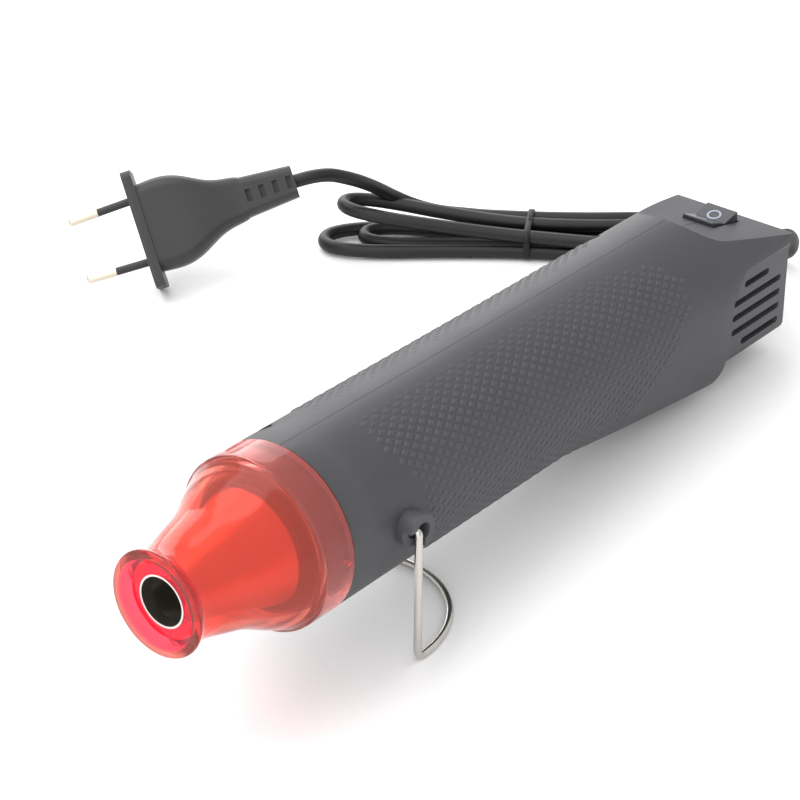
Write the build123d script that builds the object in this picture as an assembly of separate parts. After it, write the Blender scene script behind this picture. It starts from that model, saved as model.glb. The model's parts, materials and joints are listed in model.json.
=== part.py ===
from build123d import *
import math
import os

# Embossing heat tool, modelled in millimetres.
# Tool frame: X runs from the nozzle rim to the tail, Z is the top of the handle, -Y is the left side.
# stand_up() then tilts everything so that the tool rests on its wire stand and its tail.

# Whole tool
tool_length = 233.5
housing_radius = 22.35
grip_radius = 22.05
wall = 1.9
seam_gap = 0.3
fit = 0.05
seat = 0.1
overrun = 40.0

# Red nozzle guard
guard_length = 42.5
guard_collar_radius = 22.5
guard_wall = 1.8
rim_radius = 13.3
rim_lip = 1.9
rim_round = 0.7
web_depth = 2.6
web_thickness = 1.5
waist_radius = 12.15
waist_station = 6.2
flank_radii = (13.6, 15.7, 17.6)
flank_stations = (13.0, 20.4, 25.4)
shoulder_radii = (20.0, 22.0)
shoulder_stations = (guard_length - 13.3, guard_length - 9.5)
collar_start = guard_length - 6.5
guard_pin_radius = 0.7
guard_pin_inset = 1.5

# Steel nozzle and its front ring
mouth_radius = 6.2
nozzle_wall = 0.5
mouth_station = 2.2
mouth_straight = 3.2
cone_end_station = guard_length - 10.9
cone_radius = 15.0
cone_rear_station = guard_length + 3.5
nose_front = guard_length - 8.6
nose_radius = 19.8
nose_ring_length = 6.0

# Handle stations and sections
flare_start = 134.0
flare_mid = 154.0
flare_late = 181.0
flare_depths = (23.4, 26.0, 27.8)
flare_powers = (2.45, 2.8, 3.0)
skirt_station = 200.0
section_points = 9

# Tail with its vents
tail_half_width = 17.8
tail_floor = 19.8
tail_corner = 3.4
tail_cove_start = 5.6
arch_heights = (-1.0, 4.7, 8.3, 10.3, 10.7, 9.4)
arch_offsets = (0.0, 2.3, 7.0, 12.0, 18.5, 33.5)
vent_pitch = 4.35
vent_height = 1.9
vent_count = 5
vent_top = 2.9
vent_front = 207.0
vent_rear = 230.4
vent_short_front = 212.0
vent_short_rear = 224.0

# Switch platform
platform_front = 198.0
platform_knee = 207.0
platform_knee_height = 16.9
platform_rear_height = 10.9
platform_blend = 9.0

# Rocker switch
switch_station = 221.0
rocker_length = 12.4
rocker_width = 9.6
rocker_gap = 0.35
rocker_rise = 2.2
rocker_crown = 0.3
rocker_tilt = 8.0
rocker_pivot_depth = 4.6
rocker_depth = 6.6
rocker_pin_radius = 1.2
window_half_length = 7.1
switch_wall = 1.4
switch_depth = 9.6
switch_terminal_size = (0.8, 4.0, 4.2)
switch_terminal_spread = 4.0

# Wire stand and its bosses
stand_station = guard_length + 19.9
stand_wire_radius = 1.0
stand_leg_plane = 25.4
stand_drop = 36.2
stand_bend = 2.4
stand_top_bend = 1.6
stand_reach = 19.6
boss_radius = 4.5
boss_end = 26.6
boss_recess_radius = 2.5
boss_recess_floor = 23.6
boss_notch_floor = 24.1
boss_inner_end = 18.4
stand_clearance = 0.12

# Heating element
tube_radius = 14.3
tube_wall = 0.5
tube_front = guard_length - 8.5
tube_rear = 104.0
sleeve_wall = 0.6
sleeve_inset = 3.0
cross_radius = 11.4
cross_thickness = 0.8
cross_front = 40.0
cross_rear = 111.5
cross_lug = 1.6
cross_tail_radius = 8.0
coil_wire_radius = 0.35
coil_gap = 0.15
coil_turns = 20
coil_pitch = 2.7
coil_front = 42.5
cutoff_radius = 3.6
cutoff_length = 5.0
cutoff_station = 88.0
tube_ring_front = 95.0
tube_ring_length = 5.5

# Fan and duct
duct_radius = 18.0
duct_wall = 1.1
duct_cone_front = 108.5
duct_cone_rear = 121.0
duct_rear = 139.0
spigot_gap = 0.2
fan_hub_radius = 6.0
fan_tip_gap = 0.6
fan_front = 124.0
fan_width = 9.0
fan_blades = 7
fan_blade_thickness = 1.2
fan_blade_pitch = 38.0

# Motor
motor_radius = 13.8
motor_wall = 0.8
motor_front = 139.4
motor_length = 32.0
motor_cap_length = 3.0
motor_boss_radius = 5.0
motor_boss_length = 2.4
bush_radius = 3.2
bush_length = 4.0
shaft_radius = 1.0
shaft_front = 122.5
magnet_thickness = 2.4
magnet_sweep = 130.0
armature_radius = 10.0
armature_length = 16.0
commutator_radius = 3.4
commutator_length = 5.0
mount_length = 7.0
mount_ring_wall = 1.6
mount_rib_thickness = 2.2
mount_ribs = 3
motor_terminal_size = (3.2, 0.6, 4.0)
motor_terminal_spread = 8.0

# Rectifier board
board_size = (1.6, 24.0, 20.0)
board_gap = 0.1
diode_radius = 1.35
diode_length = 5.2
diode_pitch = 4.6
capacitor_radius = 4.0
capacitor_thickness = 3.2

# Wiring inside
wire_radius = 0.8
wire_bend = 2.4
lead_spread = 4.0

# Strain relief, clamp and cord
cord_level = -5.9
cord_radius = 1.8
boot_radius = 4.6
boot_tip_radius = 3.2
boot_length = 24.0
boot_flange_radius = 5.8
boot_flange_thickness = 1.6
boot_neck_radius = 3.8
boot_rib_count = 4
boot_rib_depth = 0.55
boot_rib_width = 1.3
boot_rib_pitch = 3.4
boot_rib_start = 8.0
inner_cord_end = 195.0
clamp_station = 201.5
clamp_size = (5.0, 2.4, 22.4)
clamp_screw_spread = 8.2
clamp_post_radius = 2.4

# Screws that hold the halves
screw_radius = 1.15
screw_head_radius = 2.1
screw_head_height = 1.5
screw_post_radius = 3.0
screw_depth = 9.0
screw_head_bed = 3.4
front_screws = guard_length + 8.5
screw_places = ((front_screws, 17.7), (front_screws, -17.7), (184.0, 16.8), (186.0, -20.5))

# Two-pin plug
flange_width = 35.3
flange_height = 13.7
flange_thickness = 3.0
flange_round = 2.2
plug_width = 27.0
plug_neck_width = 9.6
plug_height = 12.6
plug_neck_height = 8.2
plug_body_length = 29.2
plug_station_shares = (0, 0.17, 0.34, 0.48, 0.60, 0.76, 1.0)
plug_width_shares = (0.97, 1.0, 0.97, 0.86, 0.72, 0.57, 0.45)
plug_height_shares = (1.0, 1.0, 1.0, 0.97, 0.91, 0.80, 0.70)
plug_neck_length = 15.5
plug_slot_count = 4
plug_slot_pitch = 4.1
plug_slot_size = (1.5, 3.6, 1.2)
pin_radius = 1.3
pin_length = 19.0
pin_sleeve_length = 10.0
pin_sleeve_radius = 1.2
pin_core_radius = 0.8
pin_gap_base = 18.6
pin_gap_tip = 17.5
pin_root = 4.0

# Plug as it lies: the corner of its flange and one pin tip touch the ground
plug_place = (153.2, 153.5, 17.3)
plug_axis = (0.735, -0.638, 0.226)
plug_face = (-0.642, -0.547, 0.537)

# Hank of spare cord, tied at its waist
hank_place = (236.1, 73.6)
hank_heading = (-0.517, 0.856)
hank_left = 61.0
hank_right = 45.0
hank_waist = 13.0
hank_step = 4.4
hank_layer = 4.2
hank_spread = 5.2
hank_entry = 38.0
hank_exit = 20.0
hank_stagger = 7.0
gap_sample = 1.0
tie_width = 2.4
tie_thickness = 0.6
tie_knot = (2.4, 1.8, 1.6)

# Free cord beside the tool, points chosen by hand from the boot to the hank
lead_first_run = 4.4
lead_last_run = 9.0
lead_points = [
    (265.9, 0.5, 13.2),
    (269.0, 3.2, 6.8),
    (271.9, 9.4, 2.7),
    (273.6, 18.2, 2.3),
    (273.0, 28.2, 2.4),
]

# Free cord between the hank and the plug, points chosen by hand
plug_lead_first_run = 8.0
plug_lead_last_run = 8.0
plug_lead_points = [
    (224.9, 108.0, 8.5),
    (219.4, 111.8, 12.9),
    (212.0, 113.2, 19.2),
    (203.4, 114.3, 25.2),
]

# The wire's underside and the skirt's lower edge touch the ground together
stand_run = skirt_station - stand_station
stand_fall = stand_drop - flare_depths[2]
stand_up_angle = math.degrees(
    math.atan2(stand_fall, stand_run) + math.asin(stand_wire_radius / math.hypot(stand_run, stand_fall))
)


def at_station(station):
    """Plane across the tool at a station, with the near side to the left and the top up."""
    return Plane(origin=(station, 0, 0), x_dir=(0, 1, 0), z_dir=(1, 0, 0))


def along(radius, front, rear, y=0.0, z=0.0):
    """Round bar along the tool between two stations."""
    bar = Cylinder(radius, rear - front, align=(Align.CENTER, Align.CENTER, Align.MIN))
    return Location(Plane(origin=(front, y, z), x_dir=(0, 1, 0), z_dir=(1, 0, 0))) * bar


def across(radius, start, end, x, z):
    """Round bar across the tool between two distances from the middle plane."""
    low, high = min(start, end), max(start, end)
    bar = Cylinder(radius, high - low, align=(Align.CENTER, Align.CENTER, Align.MIN))
    return Location(Plane(origin=(x, low, z), x_dir=(1, 0, 0), z_dir=(0, 1, 0))) * bar


def tube(outer, inner, front, rear):
    """Open tube along the tool."""
    return along(outer, front, rear) - along(inner, front - overrun, rear + overrun)


def block(x_range, y_range, z_range):
    """Box between two corners."""
    size = [high - low for low, high in (x_range, y_range, z_range)]
    centre = [(high + low) / 2 for low, high in (x_range, y_range, z_range)]
    return Pos(*centre) * Box(*size)


def turned(points):
    """Solid of revolution about the tool's axis from (station, radius) corners."""
    corners = [(x, 0, r) for x, r in points]
    return revolve(make_face(Polyline(corners, close=True)), Axis.X)


def handle_outline(half_width, depth, power):
    """Handle section: a half circle above and a rounded half box below."""
    top = ThreePointArc((half_width, 0), (0, half_width), (-half_width, 0))
    if power == 2 and depth == half_width:
        return make_face([top, ThreePointArc((-half_width, 0), (0, -depth), (half_width, 0))])
    below = []
    for i in range(section_points):
        turn = math.pi * i / (section_points - 1)
        sideways = math.copysign(abs(math.cos(turn)) ** (2 / power), math.cos(turn))
        down = math.sin(turn) ** (2 / power) if 0 < i < section_points - 1 else 0
        below.append((-half_width * sideways, -depth * down))
    bottom = Spline(below, tangents=((0, -1), (0, 1)))
    return make_face([top, bottom])


def handle_loft(front, rear, inset):
    """Handle body between two stations, drawn in by a wall thickness: a round grip and a deeper tail."""
    late_slope = (flare_depths[2] - flare_depths[1]) / (skirt_station - flare_late)
    end_depth = flare_depths[2] + late_slope * (rear - skirt_station)
    grip = loft([
        at_station(front) * handle_outline(housing_radius - inset, housing_radius - inset, 2),
        at_station(flare_start) * handle_outline(grip_radius - inset, grip_radius - inset, 2),
    ])
    stations = [
        (flare_start, grip_radius, 2),
        (flare_mid, flare_depths[0], flare_powers[0]),
        (flare_late, flare_depths[1], flare_powers[1]),
        (skirt_station, flare_depths[2], flare_powers[2]),
        (rear, end_depth, flare_powers[2]),
    ]
    tail = loft([
        at_station(x) * handle_outline(grip_radius - inset, depth - inset, power)
        for x, depth, power in stations
    ])
    return grip + tail


platform_slope = (platform_rear_height - platform_knee_height) / (tool_length - platform_knee)
platform_angle = math.degrees(math.atan(platform_slope))


def platform_height(x):
    """Height of the flat switch platform at a station."""
    return platform_knee_height + platform_slope * (x - platform_knee)


def platform_cutter(drop):
    """Everything above the switch platform, moved down by a wall thickness."""
    slope = math.radians(platform_angle)
    lower = drop / math.cos(slope)
    knee = (platform_knee - drop / 2, platform_height(platform_knee - drop / 2) - lower)
    rear = (tool_length + overrun, platform_height(tool_length + overrun) - lower)
    front_low = (platform_front - drop, housing_radius - drop)
    front_high = (platform_front - drop - platform_blend / 3, housing_radius + overrun)
    lead_in = Spline(
        [front_low, knee],
        tangents=((1, -1.1), (math.cos(slope), math.sin(slope))),
    )
    edges = [
        lead_in,
        Line(knee, rear),
        Line(rear, (rear[0], housing_radius + overrun)),
        Line((rear[0], housing_radius + overrun), front_high),
        Line(front_high, front_low),
    ]
    side = Plane(origin=(0, overrun, 0), x_dir=(1, 0, 0), z_dir=(0, -1, 0))
    return extrude(side * make_face(edges), 2 * overrun)


def tail_box(inset):
    """Narrow tail that carries the vents, with coved shoulders up to the skin."""
    half = tail_half_width - inset
    floor = -tail_floor + inset
    corner = tail_corner - inset / 2
    reach = grip_radius + inset
    cove_end = tail_cove_start + reach - half
    outline = [
        Line((-half + corner, floor), (half - corner, floor)),
        TangentArc((half - corner, floor), (half, floor + corner), tangent=(1, 0)),
        Line((half, floor + corner), (half, tail_cove_start)),
    ]
    if inset:
        outline.append(Line((half, tail_cove_start), (half, housing_radius)))
        outline.append(Line((half, housing_radius), (-half, housing_radius)))
        outline.append(Line((-half, housing_radius), (-half, tail_cove_start)))
    else:
        outline.append(TangentArc((half, tail_cove_start), (reach, cove_end), tangent=(0, 1)))
        outline.append(Line((reach, cove_end), (reach, housing_radius)))
        outline.append(Line((reach, housing_radius), (-reach, housing_radius)))
        outline.append(Line((-reach, housing_radius), (-reach, cove_end)))
        outline.append(TangentArc((-half, tail_cove_start), (-reach, cove_end), tangent=(0, 1)))
    outline.append(Line((-half, tail_cove_start), (-half, floor + corner)))
    outline.append(TangentArc((-half + corner, floor), (-half, floor + corner), tangent=(-1, 0)))
    front = skirt_station - overrun
    rear = tool_length - inset
    return extrude(at_station(front) * make_face(outline), rear - front)


def scallop_cutter():
    """Region behind the skirt edge and below the arched edge of the skin."""
    points = [(skirt_station + dx, z) for dx, z in zip(arch_offsets, arch_heights)]
    arch = Spline(points, tangents=((0, 1), (1, -0.12)))
    low = -housing_radius - overrun
    edges = [
        arch,
        Line(points[-1], (points[-1][0] + overrun, points[-1][1])),
        Line((points[-1][0] + overrun, points[-1][1]), (points[-1][0] + overrun, low)),
        Line((points[-1][0] + overrun, low), (skirt_station, low)),
        Line((skirt_station, low), points[0]),
    ]
    side = Plane(origin=(0, overrun, 0), x_dir=(1, 0, 0), z_dir=(0, -1, 0))
    return extrude(side * make_face(edges), 2 * overrun)


def vent_slots():
    """Five slots through each side of the tail."""
    slots = []
    for i in range(vent_count):
        z = vent_top - i * vent_pitch
        front = vent_front if 0 < i < vent_count - 1 else vent_short_front
        rear = vent_rear if i else vent_short_rear
        half = vent_height / 2
        middle = block((front + half, rear - half), (-overrun, overrun), (z - half, z + half))
        ends = [across(half, -overrun, overrun, x, z) for x in (front + half, rear - half)]
        slots.append(middle + ends[0] + ends[1])
    return slots


def to_switch(shape):
    """Place a shape drawn about the switch window: X along the platform, Z out of it."""
    return Pos(switch_station, 0, platform_height(switch_station)) * Rot(0, -platform_angle, 0) * shape


def housing_body():
    """Outer form of both housing halves, solid."""
    skin_front = guard_length + seam_gap
    body = handle_loft(skin_front, tool_length + wall, 0)
    body -= platform_cutter(0)
    body -= scallop_cutter() - tail_box(0)
    body -= block((tool_length, tool_length + overrun), (-overrun, overrun), (-overrun, overrun))
    return body + along(nose_radius, nose_front, skin_front + wall)


def housing_hollow():
    """Room inside the housing."""
    skin_front = guard_length + seam_gap
    lined = handle_loft(skin_front + wall, tool_length + wall, wall)
    main = lined & block((0, skirt_station - wall), (-overrun, overrun), (-2 * overrun, overrun))
    tail_range = (skirt_station - 3 * wall, tool_length)
    tail = tail_box(wall) & block(tail_range, (-overrun, overrun), (-overrun, overrun))
    hollow = main + (tail & lined) - platform_cutter(wall)
    return hollow + along(nose_radius - wall, nose_front - overrun, skin_front + 2 * wall)


def boss_pair():
    """Round bosses on both sides that take the ends of the wire stand."""
    made = []
    for side in (-1, 1):
        made.append(across(boss_radius, side * boss_inner_end, side * boss_end, stand_station, 0))
    return made


def boss_cuts():
    """Bore, recess and leg notch of the stand bosses."""
    cuts = []
    half = stand_wire_radius + stand_clearance
    for side in (-1, 1):
        cuts += [
            across(stand_wire_radius + fit, side * boss_inner_end / 2, side * boss_end, stand_station, 0),
            across(boss_recess_radius, side * boss_recess_floor, side * (boss_end + wall), stand_station, 0),
        ]
        span = sorted((side * boss_notch_floor, side * (boss_end + wall)))
        cuts.append(block((stand_station - overrun / 4, stand_station + half), span, (-overrun / 4, half)))
    return cuts


def screw_posts(side):
    """Posts for the housing screws on one half."""
    posts = []
    for x, z in screw_places:
        reach = math.sqrt(grip_radius ** 2 - min(abs(z), screw_places[0][1]) ** 2)
        posts.append(across(screw_post_radius, 0, side * (reach - wall / 2), x, z))
    return posts


def switch_shelf():
    """Ledge under the switch, joined to the side walls."""
    top = -wall - switch_depth - fit
    shelves = []
    for side in (-1, 1):
        span = sorted((side * (rocker_width / 2 + rocker_gap), side * (tail_half_width - wall / 2)))
        shelves.append(to_switch(block((-wall, wall), span, (top - wall, top))))
    return shelves


def clamp_posts():
    """Posts on the left half that the cord clamp is screwed to, and the ridge under the cord."""
    posts = []
    for side in (-1, 1):
        z = cord_level + side * clamp_screw_spread
        posts.append(across(clamp_post_radius, -cord_radius, -tail_half_width + wall / 2, clamp_station, z))
    ridge = block(
        (clamp_station - clamp_size[0] / 4, clamp_station + clamp_size[0] / 4),
        (-tail_half_width + wall / 2, -cord_radius - fit),
        (cord_level - clamp_screw_spread, cord_level + clamp_screw_spread),
    )
    return posts + [ridge]


def housing_halves():
    """Left and right housing halves with their posts, bores and openings."""
    body = housing_body()
    shell = body - housing_hollow()
    for boss in boss_pair():
        shell += boss
    for shelf in switch_shelf():
        shell += shelf
    window = to_switch(block(
        (-window_half_length, window_half_length),
        (-rocker_width / 2 - rocker_gap, rocker_width / 2 + rocker_gap),
        (-wall * 1.6, wall * 2),
    ))
    left = shell & block((0, tool_length + overrun), (-overrun, 0), (-overrun, overrun))
    right = shell & block((0, tool_length + overrun), (0, overrun), (-overrun, overrun))
    for post in screw_posts(-1) + clamp_posts():
        left += post & body
    for post in screw_posts(1):
        right += post & body
    cuts = boss_cuts() + vent_slots() + [window]
    cuts.append(along(boot_neck_radius + fit, tool_length - 2 * wall, tool_length + overrun, 0, cord_level))
    cuts.append(across(guard_pin_radius + fit, -overrun, overrun, guard_length - guard_pin_inset, 0))
    for x, z in screw_places:
        cuts.append(across(screw_radius + fit / 4, -screw_depth, overrun, x, z))
        cuts.append(across(screw_head_radius + seat, screw_head_bed, overrun, x, z))
    for side in (-1, 1):
        z = cord_level + side * clamp_screw_spread
        cuts.append(across(screw_radius + fit / 4, -screw_depth, 0, clamp_station, z))
    for cut in cuts:
        left -= cut
        right -= cut
    return left, right


def screw_at(x, z, head_y):
    """Pan head screw driven towards the left half."""
    shank = across(screw_radius, head_y, head_y - screw_depth, x, z)
    head = across(screw_head_radius, head_y, head_y + screw_head_height, x, z)
    edge = head.edges().group_by(Axis.Y)[-1]
    drive = across(screw_radius / 2, head_y + screw_head_height / 2, head_y + overrun, x, z)
    return shank + fillet(edge, screw_head_height / 3) - drive


def nozzle_guard():
    """Flared red guard with a dished front web and a collar over the nose."""
    back = guard_length
    outer_points = [
        (rim_round * 2, rim_radius),
        (waist_station, waist_radius),
        (flank_stations[0], flank_radii[0]),
        (flank_stations[1], flank_radii[1]),
        (shoulder_stations[0], shoulder_radii[0]),
        (shoulder_stations[1], shoulder_radii[1]),
        (collar_start, guard_collar_radius),
    ]
    skin = Spline(outer_points, tangents=((0.6, -0.5), (1, 0)))
    body_edges = [
        skin,
        Line(outer_points[-1], (back, guard_collar_radius)),
        Line((back, guard_collar_radius), (back, 0)),
        Line((back, 0), (0, 0)),
        Line((0, 0), (0, rim_radius - rim_round)),
        Spline([(0, rim_radius - rim_round), (rim_round * 2, rim_radius)], tangents=((0, 1), (0.6, -0.5))),
    ]
    bore_points = [
        (waist_station, waist_radius - guard_wall),
        (flank_stations[0], flank_radii[0] - guard_wall),
        (flank_stations[1], flank_radii[1] - guard_wall * 1.1),
        (shoulder_stations[0], shoulder_radii[0] - guard_wall * 1.5),
        (nose_front - seat, nose_radius - guard_wall / 2),
    ]
    bore_start = web_depth + web_thickness
    bore_edges = [
        Spline(bore_points),
        Line(bore_points[-1], (nose_front - seat, nose_radius + fit)),
        Line((nose_front - seat, nose_radius + fit), (back + wall, nose_radius + fit)),
        Line((back + wall, nose_radius + fit), (back + wall, 0)),
        Line((back + wall, 0), (bore_start, 0)),
        Line((bore_start, 0), (bore_start, waist_radius - guard_wall)),
        Line((bore_start, waist_radius - guard_wall), bore_points[0]),
    ]
    body = revolve(Plane.XZ * make_face(body_edges), Axis.X)
    bore = revolve(Plane.XZ * make_face(bore_edges), Axis.X)
    dish = turned([
        (-wall, 0),
        (-wall, rim_radius - rim_lip + wall * 0.3),
        (0, rim_radius - rim_lip),
        (web_depth * 0.7, rim_radius - rim_lip - web_depth * 0.25),
        (web_depth, mouth_radius + nozzle_wall + 1.4 * wall),
        (web_depth, 0),
    ])
    guard = body - bore - dish
    guard -= along(mouth_radius + nozzle_wall + fit, -wall, guard_length / 4)
    guard -= across(guard_pin_radius + fit, -overrun, overrun, guard_length - guard_pin_inset, 0)
    return guard


def guard_pins():
    """Two small pins that hold the collar on the nose."""
    x = guard_length - guard_pin_inset
    pins = []
    for side in (-1, 1):
        ends = side * (nose_radius - wall), side * (guard_collar_radius - seat)
        pins.append(across(guard_pin_radius, *ends, x, 0))
    return pins


def nozzle_cone():
    """Thin steel funnel from the heater tube down to the mouth."""
    small = mouth_radius + nozzle_wall
    return turned([
        (mouth_station, mouth_radius),
        (mouth_station, small),
        (mouth_station + mouth_straight, small),
        (cone_end_station, cone_radius),
        (cone_rear_station, cone_radius),
        (cone_rear_station, cone_radius - nozzle_wall),
        (cone_end_station, cone_radius - nozzle_wall),
        (mouth_station + mouth_straight, mouth_radius),
    ])


def nose_ring():
    """Dark heat-resistant ring that centres the nozzle in the nose."""
    return tube(nose_radius - wall - fit, cone_radius + fit, nose_front + fit, nose_front + nose_ring_length)


def element_tube():
    return tube(tube_radius, tube_radius - tube_wall, tube_front, tube_rear)


def mica_sleeve():
    outer = tube_radius - tube_wall - fit
    return tube(outer, outer - sleeve_wall, tube_front + sleeve_inset, tube_rear - sleeve_inset)


def mica_cross():
    """Two crossing mica plates that carry the coil, with a narrower tail for the leads."""
    half = cross_thickness / 2
    coil_rear = coil_front + coil_turns * coil_pitch + coil_pitch
    wide = (cross_front, coil_rear)
    thin = (coil_rear, cross_rear)
    lug_reach = tube_radius - tube_wall - sleeve_wall - 2 * fit
    upright = block(wide, (-half, half), (-cross_radius, cross_radius))
    flat = block(wide, (-cross_radius, cross_radius), (-half, half))
    upright_tail = block(thin, (-half, half), (-cross_tail_radius, cross_tail_radius))
    flat_tail = block(thin, (-cross_tail_radius, cross_tail_radius), (-half, half))
    cross = upright + flat + upright_tail + flat_tail
    for x in (cross_front, coil_rear - cross_lug):
        lugs = (x, x + cross_lug)
        cross += block(lugs, (-half, half), (-lug_reach, lug_reach))
        cross += block(lugs, (-lug_reach, lug_reach), (-half, half))
    return cross


def heating_coil():
    """Resistance wire wound on the cross."""
    radius = cross_radius + coil_gap + coil_wire_radius
    path = Helix(coil_pitch, coil_pitch * coil_turns, radius)
    start = path @ 0
    section = Plane(origin=start, z_dir=path % 0) * Circle(coil_wire_radius)
    coil = sweep(section, path, is_frenet=True)
    return Location(Plane(origin=(coil_front, 0, 0), x_dir=(0, 1, 0), z_dir=(1, 0, 0))) * coil


def thermal_cutoff():
    offset = cutoff_radius + cross_thickness / 2 + fit
    can = along(cutoff_radius, cutoff_station, cutoff_station + cutoff_length, offset, offset)
    return chamfer(can.edges().group_by(Axis.X)[-1], cutoff_radius / 8)


def tube_ring():
    """Ring that centres the heater tube in the handle, with notches for the leads."""
    rear = tube_ring_front + tube_ring_length
    return tube(grip_radius - wall - seat, tube_radius + fit, tube_ring_front, rear)


def fan_duct():
    """Funnel and shroud from the fan to the heater tube."""
    spigot = tube_radius + fit
    front = tube_ring_front + tube_ring_length + spigot_gap
    duct = turned([
        (front, spigot),
        (front, spigot + duct_wall),
        (duct_cone_front, spigot + duct_wall),
        (duct_cone_rear, duct_radius),
        (duct_rear, duct_radius),
        (duct_rear, duct_radius - duct_wall),
        (duct_cone_rear, duct_radius - duct_wall),
        (duct_cone_front, spigot),
    ])
    for side in (-1, 1):
        hole = Cylinder(wire_radius * 1.6, overrun, align=(Align.CENTER, Align.CENTER, Align.MAX))
        duct -= Pos(lead_drop_station(), side * lead_spread, 0) * hole
    return duct


def lead_drop_station():
    """Station where the heater leads come up into the duct."""
    return duct_cone_front + wire_radius


def fan_impeller():
    """Axial fan with a domed hub and twisted flat blades."""
    tip = duct_radius - duct_wall - fan_tip_gap
    rear = fan_front + fan_width
    hub = along(fan_hub_radius, fan_front, rear)
    hub = fillet(hub.edges().group_by(Axis.X)[0], fan_hub_radius / 3)
    blade_height = tip - fan_hub_radius * 0.8
    blade = Box(fan_width, fan_blade_thickness, blade_height, align=(Align.CENTER, Align.CENTER, Align.MIN))
    blade = Pos(0, 0, fan_hub_radius * 0.8) * Rot(0, 0, fan_blade_pitch) * blade
    fan = hub
    for i in range(fan_blades):
        fan += Pos((fan_front + rear) / 2, 0, 0) * Rot(360 * i / fan_blades, 0, 0) * blade
    fan &= along(tip, fan_front, rear)
    return fan - along(shaft_radius, 0, tool_length)


def motor_rear():
    return motor_front + motor_length


def motor_can():
    """Drawn steel can with a front boss that holds the front bush."""
    shell = along(motor_radius, motor_front, motor_rear())
    shell = fillet(shell.edges().group_by(Axis.X)[0], motor_wall)
    shell += along(motor_boss_radius, motor_front - motor_boss_length, motor_front + motor_wall)
    shell -= along(motor_radius - motor_wall, motor_front + motor_wall, motor_rear() + wall)
    shell -= along(bush_radius, motor_front - motor_boss_length + motor_wall, motor_front + bush_length)
    shell -= along(shaft_radius * 1.6, 0, motor_front + bush_length)
    return shell


def motor_bushes():
    """Sintered bushes at both ends of the shaft."""
    front = motor_front - motor_boss_length + motor_wall
    rear = motor_rear() - bush_length / 2
    return [
        tube(bush_radius, shaft_radius + fit / 2, front, front + bush_length - wall),
        tube(bush_radius, shaft_radius + fit / 2, rear, rear + bush_length),
    ]


def motor_magnets():
    """Two arc magnets inside the can."""
    outer = motor_radius - motor_wall
    ring = tube(outer, outer - magnet_thickness, motor_front + 3 * motor_wall, motor_rear() - 8 * motor_wall)
    slot = Box(tool_length * 2, outer * 4, outer * math.cos(math.radians(magnet_sweep / 2)))
    ring -= slot
    return ring.solids()


def motor_shaft():
    return along(shaft_radius, shaft_front, motor_rear() + bush_length / 2 + seat)


def motor_armature():
    """Three-pole core and commutator on the shaft."""
    front = motor_front + 6 * motor_wall
    core = along(armature_radius, front, front + armature_length)
    for i in range(3):
        slot = block((0, tool_length), (-wall, wall), (commutator_radius + wall, overrun))
        core -= Rot(60 + 120 * i, 0, 0) * slot
    core += along(commutator_radius, front + armature_length, front + armature_length + commutator_length)
    return core - along(shaft_radius, 0, tool_length)


def motor_end_cap():
    """Plastic rear cap of the motor."""
    cap = along(motor_radius - motor_wall / 2, motor_rear(), motor_rear() + motor_cap_length)
    cap = fillet(cap.edges().group_by(Axis.X)[-1], motor_wall)
    cap += along(motor_radius - motor_wall - fit, motor_rear() - motor_wall, motor_rear())
    cap -= along(bush_radius, motor_rear() - wall, motor_rear() + bush_length / 2)
    return cap - along(shaft_radius * 1.6, 0, motor_rear() + bush_length / 2 + 2 * seat)


def motor_terminals():
    start = motor_rear() + motor_cap_length
    depth, thick, high = motor_terminal_size
    return [
        block((start, start + depth), (y - thick / 2, y + thick / 2), (-high / 2, high / 2))
        for y in (-motor_terminal_spread, motor_terminal_spread)
    ]


def motor_mount():
    """Ring around the motor with three ribs out to the housing."""
    front = duct_rear + spigot_gap
    rear = front + mount_length
    inner = tube(motor_radius + fit + mount_ring_wall, motor_radius + fit, front, rear)
    outer = tube(grip_radius - wall - seat, duct_radius - duct_wall, front, rear)
    rib = block(
        (front, rear),
        (-mount_rib_thickness / 2, mount_rib_thickness / 2),
        (motor_radius + mount_ring_wall / 2, duct_radius - duct_wall / 2),
    )
    mount = inner + outer
    for i in range(mount_ribs):
        mount += Rot(360 * i / mount_ribs, 0, 0) * rib
    for notch in lead_notches():
        mount -= notch
    return mount


def board_front():
    return motor_rear() + motor_cap_length + motor_terminal_size[0] + board_gap


def rectifier_board():
    thick, wide, high = board_size
    return block((board_front(), board_front() + thick), (-wide / 2, wide / 2), (-high / 2, high / 2))


def rectifier_diodes():
    """Four diodes lying on the rear of the board."""
    x = board_front() + board_size[0] + diode_radius + fit
    diodes = []
    for i in range(4):
        y = (i - 1.5) * diode_pitch
        bar = Cylinder(diode_radius, diode_length)
        diodes.append(Pos(x, y, board_size[2] / 4) * bar)
    return diodes


def filter_capacitor():
    """Disc capacitor on the lower half of the board."""
    x = board_front() + board_size[0] + fit
    can = along(capacitor_radius, x, x + capacitor_thickness, -board_size[1] / 4, -board_size[2] / 4)
    return fillet(can.edges().group_by(Axis.X)[-1], capacitor_thickness / 3)


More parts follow.
